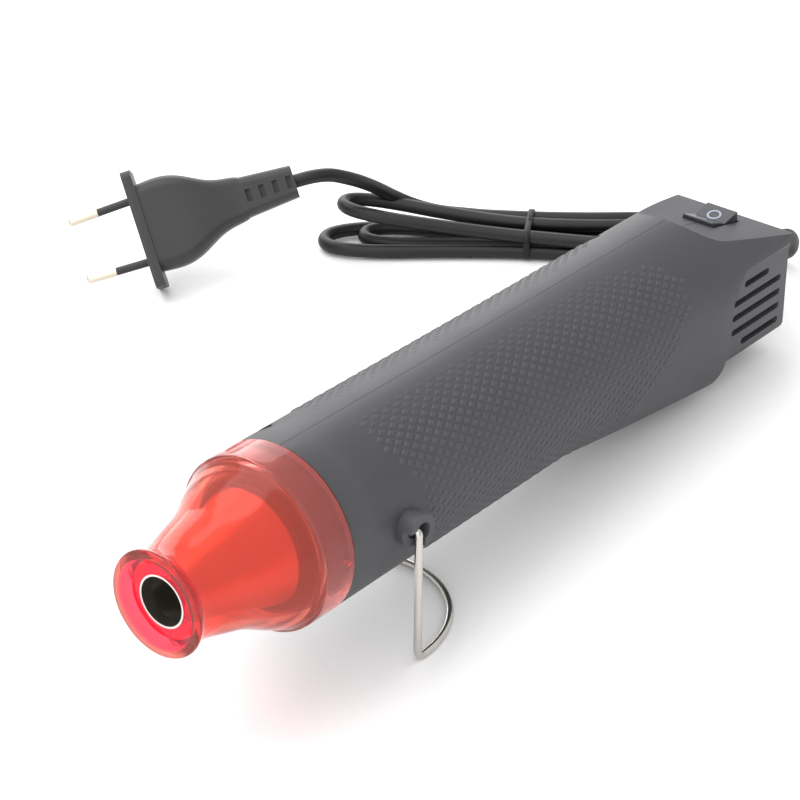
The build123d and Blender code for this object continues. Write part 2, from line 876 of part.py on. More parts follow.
def rocker():
    """Rocker actuator: two shallow slopes that meet over the pivot."""
    half = rocker_length / 2
    skirt = half + rocker_gap
    profile = Polyline([
        (-half, rocker_rise),
        (0, rocker_crown),
        (half, rocker_rise),
        (skirt, -wall),
        (skirt * 0.8, -rocker_depth),
        (-skirt * 0.8, -rocker_depth),
        (-skirt, -wall),
    ], close=True)
    side = Plane(origin=(0, rocker_width / 2, 0), x_dir=(1, 0, 0), z_dir=(0, -1, 0))
    body = extrude(side * make_face(profile), rocker_width)
    pin = across(
        rocker_pin_radius,
        -rocker_width / 2 - rocker_gap - switch_wall * 0.8,
        rocker_width / 2 + rocker_gap + switch_wall * 0.8,
        0,
        -rocker_pivot_depth,
    )
    top = body.edges().group_by(Axis.Z)[-1]
    return fillet(top, rocker_crown) + pin


def placed_rocker():
    """Rocker with its rear end up."""
    swing = Pos(0, 0, -rocker_pivot_depth) * Rot(0, -rocker_tilt, 0) * Pos(0, 0, rocker_pivot_depth)
    return to_switch(swing * rocker())


def switch_half_width():
    return rocker_width / 2 + rocker_gap + switch_wall


def switch_body():
    """Plastic switch body under the platform, open towards the window."""
    half = switch_half_width()
    reach = window_half_length + switch_wall
    base = -wall - switch_depth
    body = block((-reach, reach), (-half, half), (base, -wall - fit))
    hollow = half - switch_wall
    floor = -rocker_pivot_depth - rocker_depth * 0.62
    room = window_half_length + rocker_gap
    body -= block((-room, room), (-hollow, hollow), (floor, 0))
    end = half - switch_wall * 0.1
    body -= across(rocker_pin_radius + fit, -end, end, 0, -rocker_pivot_depth)
    return to_switch(body)


def switch_terminals():
    thick, wide, high = switch_terminal_size
    base = -wall - switch_depth
    return [
        to_switch(block((s - thick / 2, s + thick / 2), (-wide / 2, wide / 2), (base - high, base)))
        for s in (-switch_terminal_spread, switch_terminal_spread)
    ]


def wire_stand():
    """Bent wire stand: two pivot ends, two legs and a half-round foot that lies flat on the ground."""
    rise = math.radians(stand_up_angle)
    heading = Vector(math.cos(rise), 0, math.sin(rise))

    def side_points(side):
        """Points of one side, from the pivot end to the start of the foot."""
        end = Vector(stand_station, side * stand_reach, 0)
        top = Vector(stand_station, side * stand_leg_plane, 0)
        heel = Vector(stand_station, side * stand_leg_plane, -stand_drop)
        return [end, top, heel, heel + heading * stand_bend * 1.5]

    near, far = side_points(-1), side_points(1)
    toe = Vector(near[-1].X, 0, near[-1].Z) + heading * stand_leg_plane
    bends = [stand_top_bend, stand_bend]
    first = FilletPolyline(near, radius=bends)
    bow = ThreePointArc(near[-1], toe, far[-1])
    last = FilletPolyline(far[::-1], radius=bends[::-1])
    path = Wire([*first.edges(), *bow.edges(), *last.edges()])
    section = Plane(origin=near[0], z_dir=near[1] - near[0]) * Circle(stand_wire_radius)
    return sweep(section, path)


def strain_relief():
    """Tapered rubber boot captured in the tail wall, with grooves near its tip."""
    inner = tool_length - wall
    boot = turned([
        (inner - boot_flange_thickness - seat, 0),
        (inner - boot_flange_thickness - seat, boot_flange_radius),
        (inner - seat, boot_flange_radius),
        (inner - seat, boot_neck_radius),
        (tool_length + seat, boot_neck_radius),
        (tool_length + seat, boot_radius),
        (tool_length + boot_length, boot_tip_radius),
        (tool_length + boot_length, 0),
    ])
    for i in range(boot_rib_count):
        front = tool_length + boot_rib_start + i * boot_rib_pitch
        share = (front - tool_length) / boot_length
        radius = boot_radius + (boot_tip_radius - boot_radius) * share - boot_rib_depth
        boot -= tube(boot_radius * 2, radius, front, front + boot_rib_width)
    boot -= along(cord_radius + fit, 0, tool_length + 2 * overrun)
    return Pos(0, 0, cord_level) * boot


def inner_cord():
    """Cord jacket from the clamp through the boot."""
    return along(cord_radius, inner_cord_end, tool_length + boot_length, 0, cord_level)


def cord_clamp():
    """Bar that presses the cord against the ridge, held by two screws."""
    length, thick, high = clamp_size
    bar = block(
        (clamp_station - length / 2, clamp_station + length / 2),
        (cord_radius + fit, cord_radius + fit + thick),
        (cord_level - high / 2, cord_level + high / 2),
    )
    bar = fillet(bar.edges().filter_by(Axis.Y), thick / 3)
    for side in (-1, 1):
        z = cord_level + side * clamp_screw_spread
        bar += across(clamp_post_radius, -cord_radius + fit, cord_radius + thick, clamp_station, z)
        bar -= across(screw_radius + fit / 2, -overrun, overrun, clamp_station, z)
    return bar


def clamp_screws():
    head = cord_radius + clamp_size[1] + fit
    return [
        screw_at(clamp_station, cord_level + side * clamp_screw_spread, head + fit)
        for side in (-1, 1)
    ]


def housing_screws():
    return [screw_at(x, z, screw_head_bed + fit) for x, z in screw_places]


def wire_along(points, radius=wire_radius, bend=wire_bend):
    """Round wire along straight runs with tangent bends."""
    path = FilletPolyline(points, radius=bend)
    start = Vector(*points[0])
    section = Plane(origin=start, z_dir=Vector(*points[1]) - start) * Circle(radius)
    return sweep(section, path)


def heater_leads():
    """Two leads under the duct from the board up to the element."""
    level = wire_radius + seat - math.sqrt((grip_radius - wall) ** 2 - (lead_spread + wire_radius) ** 2)
    x_up = lead_drop_station()
    x_board = board_front() + board_size[0] / 2
    leads = []
    for side in (-1, 1):
        y = side * lead_spread
        leads.append(wire_along([
            (x_board, y, -board_size[2] / 2 - seat),
            (x_board, y, level),
            (x_up, y, level),
            (x_up, y, -cross_thickness / 2 - fit),
        ]))
    return leads


def lead_notches():
    """Room for the heater leads in the ring that they pass."""
    top = -duct_radius + duct_wall / 2
    cuts = []
    for side in (-1, 1):
        middle = side * lead_spread
        half = wire_radius + seat * 3
        cuts.append(block((duct_rear, motor_rear()), (middle - half, middle + half), (-overrun, top)))
    return cuts


def switch_point(along_platform, sideways, level):
    """Point given in the switch's own directions."""
    return to_switch(Vertex(along_platform, sideways, level)).center()


def mains_wires():
    """Wires from the cord to the switch and the board."""
    wide, high = switch_terminal_size[1:]
    base = -wall - switch_depth
    tip = switch_point(-switch_terminal_spread, 0, base - high - wire_radius - seat)
    edge = switch_point(switch_terminal_spread, 0, base - high + wire_radius)
    board_rear = board_front() + board_size[0] + fit
    fork = wire_radius + fit
    bend_station = inner_cord_end - 2 * wire_bend
    live = [
        (inner_cord_end - fit, -fork, cord_level),
        (bend_station, -fork, cord_level),
        (bend_station, -fork, tip.Z),
        (tip.X, -fork, tip.Z),
    ]
    side = board_size[1] / 4
    neutral = [
        (inner_cord_end - fit, fork, cord_level),
        (bend_station, fork, cord_level),
        (bend_station - side, side, cord_level),
        (board_rear, side, cord_level),
    ]
    outer = switch_half_width() + wire_bend
    lift = board_size[2] / 4
    switched = [
        (edge.X, wide / 2 + fit, edge.Z),
        (edge.X, outer, edge.Z),
        (bend_station, outer, edge.Z),
        (board_rear + 2 * wire_bend, board_size[1] / 2 - wire_bend, lift),
        (board_rear, board_size[1] / 2 - wire_bend, lift),
    ]
    return [wire_along(points, bend=wire_radius * 2) for points in (live, neutral, switched)]


def stand_up(shape):
    """Tilt the tool onto its stand and tail, with the floor at zero height."""
    angle = math.radians(stand_up_angle)
    lift = stand_wire_radius + stand_drop * math.cos(angle) + stand_station * math.sin(angle)
    return Pos(0, 0, lift) * Rot(0, stand_up_angle, 0) * shape


def plug_frame():
    """Frame of the plug: X from the pins to the cord, Z out of its broad face."""
    axis = Vector(*plug_axis).normalized()
    face = Vector(*plug_face)
    face = (face - axis * face.dot(axis)).normalized()
    return Plane(origin=plug_place, x_dir=axis, z_dir=face)


def plug_slice(width, height, x):
    """Rounded section of the plug across its length."""
    plane = Plane(origin=(x, 0, 0), x_dir=(0, 1, 0), z_dir=(1, 0, 0))
    return plane * RectangleRounded(width, height, min(width, height) * 0.3)


def plug_body():
    """Moulded plug: flange, waisted grip and ribbed neck."""
    flange = Box(flange_thickness, flange_width, flange_height, align=(Align.MIN, Align.CENTER, Align.CENTER))
    flange = fillet(flange.edges().filter_by(Axis.X), flange_round)
    neck_start = flange_thickness + plug_body_length
    start = flange_thickness * 0.8
    shares = zip(plug_station_shares, plug_width_shares, plug_height_shares)
    grip = loft([
        plug_slice(plug_width * width, plug_height * height, start + share * (neck_start - start))
        for share, width, height in shares
    ])
    neck = loft([
        plug_slice(plug_width * plug_width_shares[-1], plug_height * plug_height_shares[-1], neck_start),
        plug_slice(plug_neck_width, plug_neck_height, neck_start + plug_neck_length),
    ])
    body = flange + grip + neck
    width, length, depth = plug_slot_size
    for i in range(plug_slot_count):
        x = neck_start + plug_neck_length - (i + 0.4) * plug_slot_pitch
        for side in (-1, 1):
            slot = Box(width, length, depth * 2)
            body -= Pos(x, 0, side * plug_neck_height / 2) * slot
    for side in (-1, 1):
        body -= plug_pin_bar(side, pin_sleeve_radius + fit, -overrun, pin_root + fit)
    return body


def plug_pin_bar(side, radius, start, end):
    """Round bar along one pin of the plug, between two distances behind its front face."""
    lean = math.degrees(math.atan((pin_gap_base - pin_gap_tip) / 2 / pin_length))
    bar = Cylinder(radius, end - start, align=(Align.CENTER, Align.CENTER, Align.MIN))
    bar = Location(Plane(origin=(start, 0, 0), x_dir=(0, 1, 0), z_dir=(1, 0, 0))) * bar
    return Pos(0, side * pin_gap_base / 2, 0) * Rot(0, 0, side * lean) * bar


def plug_pins():
    """Two pins with bright tips and thinner cores under the sleeves."""
    pins = []
    for side in (-1, 1):
        tip = plug_pin_bar(side, pin_radius, -pin_length, -pin_sleeve_length)
        tip = fillet(tip.edges().group_by(Axis.X)[0], pin_radius * 0.7)
        core = plug_pin_bar(side, pin_core_radius, -pin_sleeve_length, pin_root)
        pins.append(tip + core)
    return pins


def pin_sleeves():
    """Plastic sleeves over the rear half of the pins."""
    sleeves = []
    for side in (-1, 1):
        sleeve = plug_pin_bar(side, pin_sleeve_radius, -pin_sleeve_length + fit, pin_root)
        sleeves.append(sleeve - plug_pin_bar(side, pin_core_radius + fit / 2, -pin_length, pin_root + wall))
    return sleeves


def hank_point(along_axis, sideways, level):
    """Point of the hank from its own axis, side and height."""
    hx, hy = hank_heading
    x = hank_place[0] + hx * along_axis + hy * sideways
    y = hank_place[1] + hy * along_axis - hx * sideways
    return (x, y, level)


def hank_levels():
    low = tie_thickness + fit + cord_radius
    return low, low + hank_layer


def hank_route():
    """Loops of the hank: two in on the ground, a climb along a run, and out again on top of them."""
    low = hank_levels()[0]
    # Each pass through the waist: its column in steps, its level there and its level at the next fold.
    pass_shares = (
        (1.5, 0, 0), (-1.5, 0, 0), (0.5, 0, 0), (-0.5, 0, 1), (0.5, 1, 1), (-1.5, 1, 1), (1.5, 1, 1),
    )
    # How far each fold stays inside the ends of the hank, in staggers.
    fold_shares = (0, 0, 1.6, 1.1, 0.7, 0.3)

    def beside(column, reach_out):
        """Sideways place of a column's strand at a distance from the middle of the waist."""
        drawn = hank_spread * (abs(reach_out) - hank_waist) / (hank_left - hank_waist)
        return column * hank_step + math.copysign(max(drawn, 0), column)

    first_column = pass_shares[0][0]
    points = [hank_point(-hank_entry, beside(first_column, hank_entry), low)]
    heading = 1
    for i, (column, here, there) in enumerate(pass_shares):
        level = low + hank_layer * here
        after = low + hank_layer * there
        points.append(hank_point(-heading * hank_waist, beside(column, 0), level))
        points.append(hank_point(heading * hank_waist, beside(column, 0), level))
        if i < len(fold_shares):
            tip = (hank_left if heading > 0 else hank_right) - hank_stagger * fold_shares[i]
            points.append(hank_point(heading * tip, beside(column, tip), after))
            points.append(hank_point(heading * tip, beside(pass_shares[i + 1][0], tip), after))
            heading = -heading
    points.append(hank_point(hank_exit, beside(pass_shares[-1][0], hank_exit), low + hank_layer))
    return points


def bend_radii(points):
    """Bend radius at each corner: 0.45 of the shorter run over the tangent of half the turn."""
    radii = []
    for a, b, c in zip(points, points[1:], points[2:]):
        turn = (b - a).get_angle(c - b)
        shorter = min((b - a).length, (c - b).length)
        radii.append(0.45 * shorter / math.tan(math.radians(turn / 2)))
    return radii


def cord_tube(points, name):
    """Round cord along straight runs joined by tangent arcs, and its centre line."""
    points = [Vector(*p) for p in points]
    radii = bend_radii(points)
    path = FilletPolyline(points, radius=radii)
    section = Plane(origin=points[0], z_dir=points[1] - points[0]) * Circle(cord_radius)
    made = sweep(section, path)
    share = made.volume / (math.pi * cord_radius ** 2 * path.length)
    print(name, "length", round(path.length, 1), "volume share", round(share, 4))
    print(name, "radii", [round(r, 1) for r in radii])
    print(name, "points", [tuple(round(v, 1) for v in p) for p in points])
    return made, path


def least_gap(path):
    """Least gap of a cord to itself, measured between points along its centre line."""
    count = int(path.length / gap_sample)
    spots = [path @ (i / count) for i in range(count + 1)]
    skip = int(3 * cord_radius / gap_sample) + int(hank_spread * 2 / gap_sample)
    least = overrun
    for i, spot in enumerate(spots):
        for other in spots[i + skip:]:
            least = min(least, (spot - other).length)
    return least - 2 * cord_radius


def boot_tip(further=0.0):
    """Centre of the boot's tip on the ground's axes, or a point further out."""
    return stand_up(Vertex(tool_length + boot_length + further, 0, cord_level)).center()


def plug_tail(further=0.0):
    """Centre of the plug's neck end, or a point further out."""
    frame = plug_frame()
    return frame.origin + frame.x_dir * (flange_thickness + plug_body_length + plug_neck_length + further)


def beyond(point, before, distance):
    """Point past the end of a run, in line with it."""
    end, start = Vector(*point), Vector(*before)
    return end + (end - start).normalized() * distance


def lead_route(hank):
    """Points of the cord from the boot to the hank, square to both."""
    last = beyond(hank[0], hank[1], lead_last_run)
    return [boot_tip(), boot_tip(lead_first_run), *lead_points, last, hank[0]]


def plug_lead_route(hank):
    """Points of the cord from the hank to the plug, square to both."""
    first = beyond(hank[-1], hank[-2], plug_lead_first_run)
    return [hank[-1], first, *plug_lead_points, plug_tail(plug_lead_last_run), plug_tail()]


def cord_tie():
    """Flat tie round the waist of the hank, with its twisted knot on top."""
    low, high = hank_levels()
    half = 1.5 * hank_step + cord_radius + fit
    bottom = low - cord_radius - fit
    top = high + cord_radius + fit
    centre = (bottom + top) / 2
    corner = cord_radius + fit
    height = top - bottom + 2 * tie_thickness
    outer = RectangleRounded(2 * (half + tie_thickness), height, corner + tie_thickness)
    inner = RectangleRounded(2 * half, top - bottom, corner)
    hx, hy = hank_heading
    spot = (hank_place[0] - hx * tie_width / 2, hank_place[1] - hy * tie_width / 2, centre)
    plane = Plane(origin=spot, x_dir=(hy, -hx, 0), z_dir=(hx, hy, 0))
    band = extrude(plane * (outer - inner), tie_width)
    length, width, height = tie_knot
    knot_plane = Plane(origin=(hank_place[0], hank_place[1], top + tie_thickness / 2), x_dir=(hx, hy, 0))
    knot = Box(length, width, height, align=(Align.CENTER, Align.CENTER, Align.MIN))
    knot = fillet(knot.edges().filter_by(Axis.Z), width / 3)
    return band + knot_plane * knot


def tool_parts():
    """Every piece of the tool in the tool's own frame."""
    left, right = housing_halves()
    return {
        "housing_left": left,
        "housing_right": right,
        "housing_screws": housing_screws(),
        "nozzle_guard": nozzle_guard(),
        "guard_pins": guard_pins(),
        "nozzle_cone": nozzle_cone(),
        "nose_ring": nose_ring(),
        "element_tube": element_tube(),
        "mica_sleeve": mica_sleeve(),
        "mica_cross": mica_cross(),
        "heating_coil": heating_coil(),
        "thermal_cutoff": thermal_cutoff(),
        "tube_ring": tube_ring(),
        "fan_duct": fan_duct(),
        "fan_impeller": fan_impeller(),
        "motor_mount": motor_mount(),
        "motor_can": motor_can(),
        "motor_magnets": motor_magnets(),
        "motor_bushes": motor_bushes(),
        "motor_shaft": motor_shaft(),
        "motor_armature": motor_armature(),
        "motor_end_cap": motor_end_cap(),
        "motor_terminals": motor_terminals(),
        "rectifier_board": rectifier_board(),
        "rectifier_diodes": rectifier_diodes(),
        "filter_capacitor": filter_capacitor(),
        "heater_leads": heater_leads(),
        "mains_wires": mains_wires(),
        "switch_body": switch_body(),
        "switch_terminals": switch_terminals(),
        "switch_rocker": placed_rocker(),
        "strain_relief": strain_relief(),
        "inner_cord": inner_cord(),
        "cord_clamp": cord_clamp(),
        "clamp_screws": clamp_screws(),
        "wire_stand": wire_stand(),
    }


def cord_parts():
    """The free cord, its hank and the plug, where they lie on the ground."""
    route = hank_route()
    lead, lead_path = cord_tube(lead_route(route), "cord_lead")
    hank, hank_path = cord_tube(route, "cord_hank")
    plug_lead, plug_path = cord_tube(plug_lead_route(route), "cord_plug_lead")
    print("hank least gap", round(least_gap(hank_path), 2))
    print("cord length", round(lead_path.length + hank_path.length + plug_path.length, 1))
    frame = plug_frame()
    return {
        "cord_lead": lead,
        "cord_hank": hank,
        "cord_plug_lead": plug_lead,
        "cord_tie": cord_tie(),
        "plug_body": frame * plug_body(),
        "plug_pins": [frame * pin for pin in plug_pins()],
        "pin_sleeves": [frame * sleeve for sleeve in pin_sleeves()],
    }


def as_one(shape):
    """A piece or a group of pieces as one shape to write."""
    solids = []
    for piece in shape if isinstance(shape, (list, tuple)) else [shape]:
        solids += piece.solids()
    return solids[0] if len(solids) == 1 else Compound(solids)


def main():
    os.makedirs("parts", exist_ok=True)
    tool = {name: stand_up(as_one(shape)) for name, shape in tool_parts().items()}
    box = Compound(list(tool.values())).bounding_box()
    origin = ((box.min.X + box.max.X) / 2, (box.min.Y + box.max.Y) / 2, box.min.Z)
    print("tool size", [round(v, 2) for v in (box.size.X, box.size.Y, box.size.Z)])
    print("floor", round(box.min.Z, 3))
    print("origin of the rim frame", [round(-v, 3) for v in origin], "tilt", round(stand_up_angle, 4))
    for name, shape in {**tool, **cord_parts()}.items():
        export_step(Pos(*(-v for v in origin)) * as_one(shape), "parts/" + name + ".step")


if __name__ == "__main__":
    main()
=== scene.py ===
"""Looks of a hot air embossing tool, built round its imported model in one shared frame."""

import json
import logging
import math
from dataclasses import dataclass
from enum import Enum
from typing import Any, Dict, List, Optional, Sequence, Tuple

import bmesh
import bpy
from mathutils import Matrix, Vector
from mathutils.bvhtree import BVHTree

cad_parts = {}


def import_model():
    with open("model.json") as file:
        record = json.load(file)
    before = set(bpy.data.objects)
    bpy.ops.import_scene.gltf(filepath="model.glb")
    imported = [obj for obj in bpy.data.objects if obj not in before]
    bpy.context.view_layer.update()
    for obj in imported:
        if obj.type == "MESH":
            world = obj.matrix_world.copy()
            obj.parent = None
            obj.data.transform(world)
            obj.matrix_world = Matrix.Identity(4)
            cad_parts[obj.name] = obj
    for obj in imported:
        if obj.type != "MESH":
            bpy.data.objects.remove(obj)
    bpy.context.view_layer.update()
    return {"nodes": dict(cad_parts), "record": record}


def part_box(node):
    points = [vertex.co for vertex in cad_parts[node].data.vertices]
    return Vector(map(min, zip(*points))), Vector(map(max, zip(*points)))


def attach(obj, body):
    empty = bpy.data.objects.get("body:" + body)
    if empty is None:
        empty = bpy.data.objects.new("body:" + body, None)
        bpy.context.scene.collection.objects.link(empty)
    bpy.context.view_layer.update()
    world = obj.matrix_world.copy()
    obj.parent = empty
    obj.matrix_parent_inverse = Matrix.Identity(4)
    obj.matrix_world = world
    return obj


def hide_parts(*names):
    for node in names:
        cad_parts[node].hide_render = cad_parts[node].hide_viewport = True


Colour = Tuple[float, float, float]
Point = Tuple[float, float, float]
Pair = Tuple[float, float]
Face = Tuple[int, ...]

TILT = math.radians(3.908996)
RIM = Vector((-0.127928, 0.0, 0.0413757))
STOOD = Vector((-0.127928, 0.0, 0.000006))
TOOL_AXIS = (math.cos(TILT), 0.0, -math.sin(TILT))
ACROSS_AXIS = (0.0, 1.0, 0.0)
MM = 0.001
CHANNEL_TOP = 255
SCREEN_KNEE = 0.04045
SCREEN_SLOPE = 12.92
SCREEN_OFFSET = 0.055
SCREEN_POWER = 2.4

log = logging.getLogger("embossing_tool")


class Body(Enum):
    """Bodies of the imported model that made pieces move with."""

    TOOL = "tool"
    ROCKER = "rocker"


class Grain(Enum):
    """How a finish varies over its surface."""

    MOULDED = "moulded"
    BRUSHED = "brushed"
    DRAWN = "drawn"
    FLAKED = "flaked"


def tool_point(x: float, y: float, z: float) -> Vector:
    """Turn a point of the tool's own frame into the row frame.

    Args:
        x: Distance behind the rim along the tool's axis, in metres.
        y: Distance to the tool's right, in metres.
        z: Distance above the axis, in metres.

    Returns:
        The point in the row frame.
    """
    return Vector((
        RIM.x + x * math.cos(TILT) + z * math.sin(TILT),
        y,
        RIM.z - x * math.sin(TILT) + z * math.cos(TILT),
    ))


def stood(points: Sequence[Point]) -> List[Vector]:
    """Turn route points, in millimetres from under the rim, into the row frame.

    Args:
        points: Points of a route as the part's source has them.

    Returns:
        The same points in metres in the row frame.
    """
    return [Vector(p) * MM + STOOD for p in points]


def linear(red: float, green: float, blue: float) -> Colour:
    """Turn a screen colour into a linear one.

    Args:
        red: Red from 0 to 255.
        green: Green from 0 to 255.
        blue: Blue from 0 to 255.

    Returns:
        The linear colour.
    """
    def one(value: float) -> float:
        """Turn one channel into its linear value."""
        share = value / CHANNEL_TOP
        if share < SCREEN_KNEE:
            return share / SCREEN_SLOPE
        return ((share + SCREEN_OFFSET) / (1 + SCREEN_OFFSET)) ** SCREEN_POWER

    return one(red), one(green), one(blue)


class Sock:
    """A shader socket that adds Math nodes when it is used in an expression."""

    def __init__(self, graph: "Graph", socket: bpy.types.NodeSocket) -> None:
        """Keep the graph and the socket."""
        self.graph = graph
        self.socket = socket

    def _math(self, operation: str, first: Any, second: Any) -> "Sock":
        """Add a Math node.

        Args:
            operation: The node's operation.
            first: Its first value or link.
            second: Its second value or link.

        Returns:
            The node's value.
        """
        return self.graph.out("ShaderNodeMath", {"operation": operation}, {0: first, 1: second})

    def __add__(self, other: Any) -> "Sock":
        """Add."""
        return self._math("ADD", self, other)

    def __radd__(self, other: Any) -> "Sock":
        """Add from the right."""
        return self._math("ADD", other, self)

    def __sub__(self, other: Any) -> "Sock":
        """Take away."""
        return self._math("SUBTRACT", self, other)

    def __rsub__(self, other: Any) -> "Sock":
        """Take away from the right."""
        return self._math("SUBTRACT", other, self)

    def __mul__(self, other: Any) -> "Sock":
        """Multiply."""
        return self._math("MULTIPLY", self, other)

    def __rmul__(self, other: Any) -> "Sock":
        """Multiply from the right."""
        return self._math("MULTIPLY", other, self)

    def __truediv__(self, other: Any) -> "Sock":
        """Divide."""
        return self._math("DIVIDE", self, other)

    def at_least(self, other: Any) -> "Sock":
        """Take the larger of two values."""
        return self._math("MAXIMUM", self, other)

    def at_most(self, other: Any) -> "Sock":
        """Take the smaller of two values."""
        return self._math("MINIMUM", self, other)

    def share(self) -> "Sock":
        """Keep the value between nought and one."""
        return self.at_least(0.0).at_most(1.0)


class Graph:
    """The node tree of one material."""

    def __init__(self, name: str) -> None:
        """Start an empty material.

        Args:
            name: The material's name.
        """
        self.material = bpy.data.materials.new(name)
        self.material.use_nodes = True
        self.tree = self.material.node_tree
        self.tree.nodes.clear()

    def node(self, kind: str, settings: Dict[str, Any], values: Dict[Any, Any]) -> bpy.types.Node:
        """Add a node, set its settings first and then its sockets.

        Args:
            kind: The node's type.
            settings: Its settings.
            values: Values or links of its sockets, by name or index.

        Returns:
            The node.
        """
        made = self.tree.nodes.new(kind)
        for key, value in settings.items():
            setattr(made, key, value)
        for key, value in values.items():
            socket = made.inputs[key]
            if isinstance(value, Sock):
                self.tree.links.new(value.socket, socket)
            elif isinstance(value, tuple) and socket.type == "RGBA":
                socket.default_value = (*value, 1.0)
            else:
                socket.default_value = value
        return made

    def out(self, kind: str, settings: Dict[str, Any], values: Dict[Any, Any],
            output: Any = 0) -> Sock:
        """Add a node and take one of its outputs.

        Args:
            kind: The node's type.
            settings: Its settings.
            values: Values or links of its sockets.
            output: The output's name or index.

        Returns:
            The output.
        """
        return Sock(self, self.node(kind, settings, values).outputs[output])

    def place(self) -> Sock:
        """Give the piece's own coordinates, in metres."""
        return self.out("ShaderNodeTexCoord", {}, {}, "Object")

    def along_tool(self, scale: Point) -> Sock:
        """Give the coordinates in the tool's own frame, stretched.

        Args:
            scale: Stretch of each axis.

        Returns:
            The vector.
        """
        turned = self.out("ShaderNodeVectorRotate", {"rotation_type": "Y_AXIS"},
                          {"Vector": self.place(), "Center": (0.0, 0.0, 0.0), "Angle": -TILT})
        return self.vector("MULTIPLY", turned, scale)

    def vector(self, operation: str, first: Any, second: Any) -> Sock:
        """Add a Vector Math node that gives a vector.

        Args:
            operation: The node's operation.
            first: Its first vector or link.
            second: Its second vector or link.

        Returns:
            The vector.
        """
        return self.out("ShaderNodeVectorMath", {"operation": operation}, {0: first, 1: second})

    def along(self, vector: Sock, axis: Point) -> Sock:
        """Give how far a vector reaches along an axis.

        Args:
            vector: The vector.
            axis: The axis, of length one.

        Returns:
            The reach.
        """
        return self.out("ShaderNodeVectorMath", {"operation": "DOT_PRODUCT"},
                        {0: vector, 1: axis}, "Value")

    def from_rim(self) -> Sock:
        """Give the vector from the middle of the rim, in metres."""
        return self.vector("SUBTRACT", self.place(), tuple(RIM))

    def across(self) -> Sock:
        """Give the distance from the plane where the housing's halves meet, in metres."""
        return self.along(self.place(), ACROSS_AXIS)

    def station(self) -> Sock:
        """Give the distance behind the rim along the tool's axis, in metres."""
        return self.along(self.from_rim(), TOOL_AXIS)

    def radius(self) -> Sock:
        """Give the distance from the tool's axis, in metres."""
        crossed = self.vector("CROSS_PRODUCT", self.from_rim(), TOOL_AXIS)
        return self.out("ShaderNodeVectorMath", {"operation": "LENGTH"}, {0: crossed}, "Value")

    def noise(self, vector: Sock, scale: float, detail: float, rough: float = 0.55) -> Sock:
        """Give a noise value from 0 to 1.

        Args:
            vector: The coordinates.
            scale: The noise's scale, per metre.
            detail: Its octaves.
            rough: Its roughness.

        Returns:
            The value.
        """
        return self.out("ShaderNodeTexNoise", {"noise_dimensions": "3D"},
                        {"Vector": vector, "Scale": scale, "Detail": detail, "Roughness": rough})

    def blend(self, share: Sock, first: Any, second: Any) -> Sock:
        """Mix two colours.

        Args:
            share: How much of the second colour shows.
            first: The first colour or link.
            second: The second colour or link.

        Returns:
            The mixed colour.
        """
        return self.out("ShaderNodeMix", {"data_type": "RGBA", "clamp_factor": True},
                        {0: share, 6: first, 7: second}, 2)

    def bump(self, height: Sock, distance: float) -> Sock:
        """Turn a height into a normal.

        Args:
            height: The height value.
            distance: The relief's depth, in metres.

        Returns:
            The normal.
        """
        return self.out("ShaderNodeBump", {},
                        {"Height": height, "Distance": distance, "Strength": 1.0})

    def finish(self, values: Dict[str, Any]) -> bpy.types.Material:
        """Close the material with a Principled shader.

        Args:
            values: Values or links of the shader's sockets.

        Returns:
            The material.
        """
        shader = self.out("ShaderNodeBsdfPrincipled", {}, values)
        self.node("ShaderNodeOutputMaterial", {}, {"Surface": shader})
        return self.material


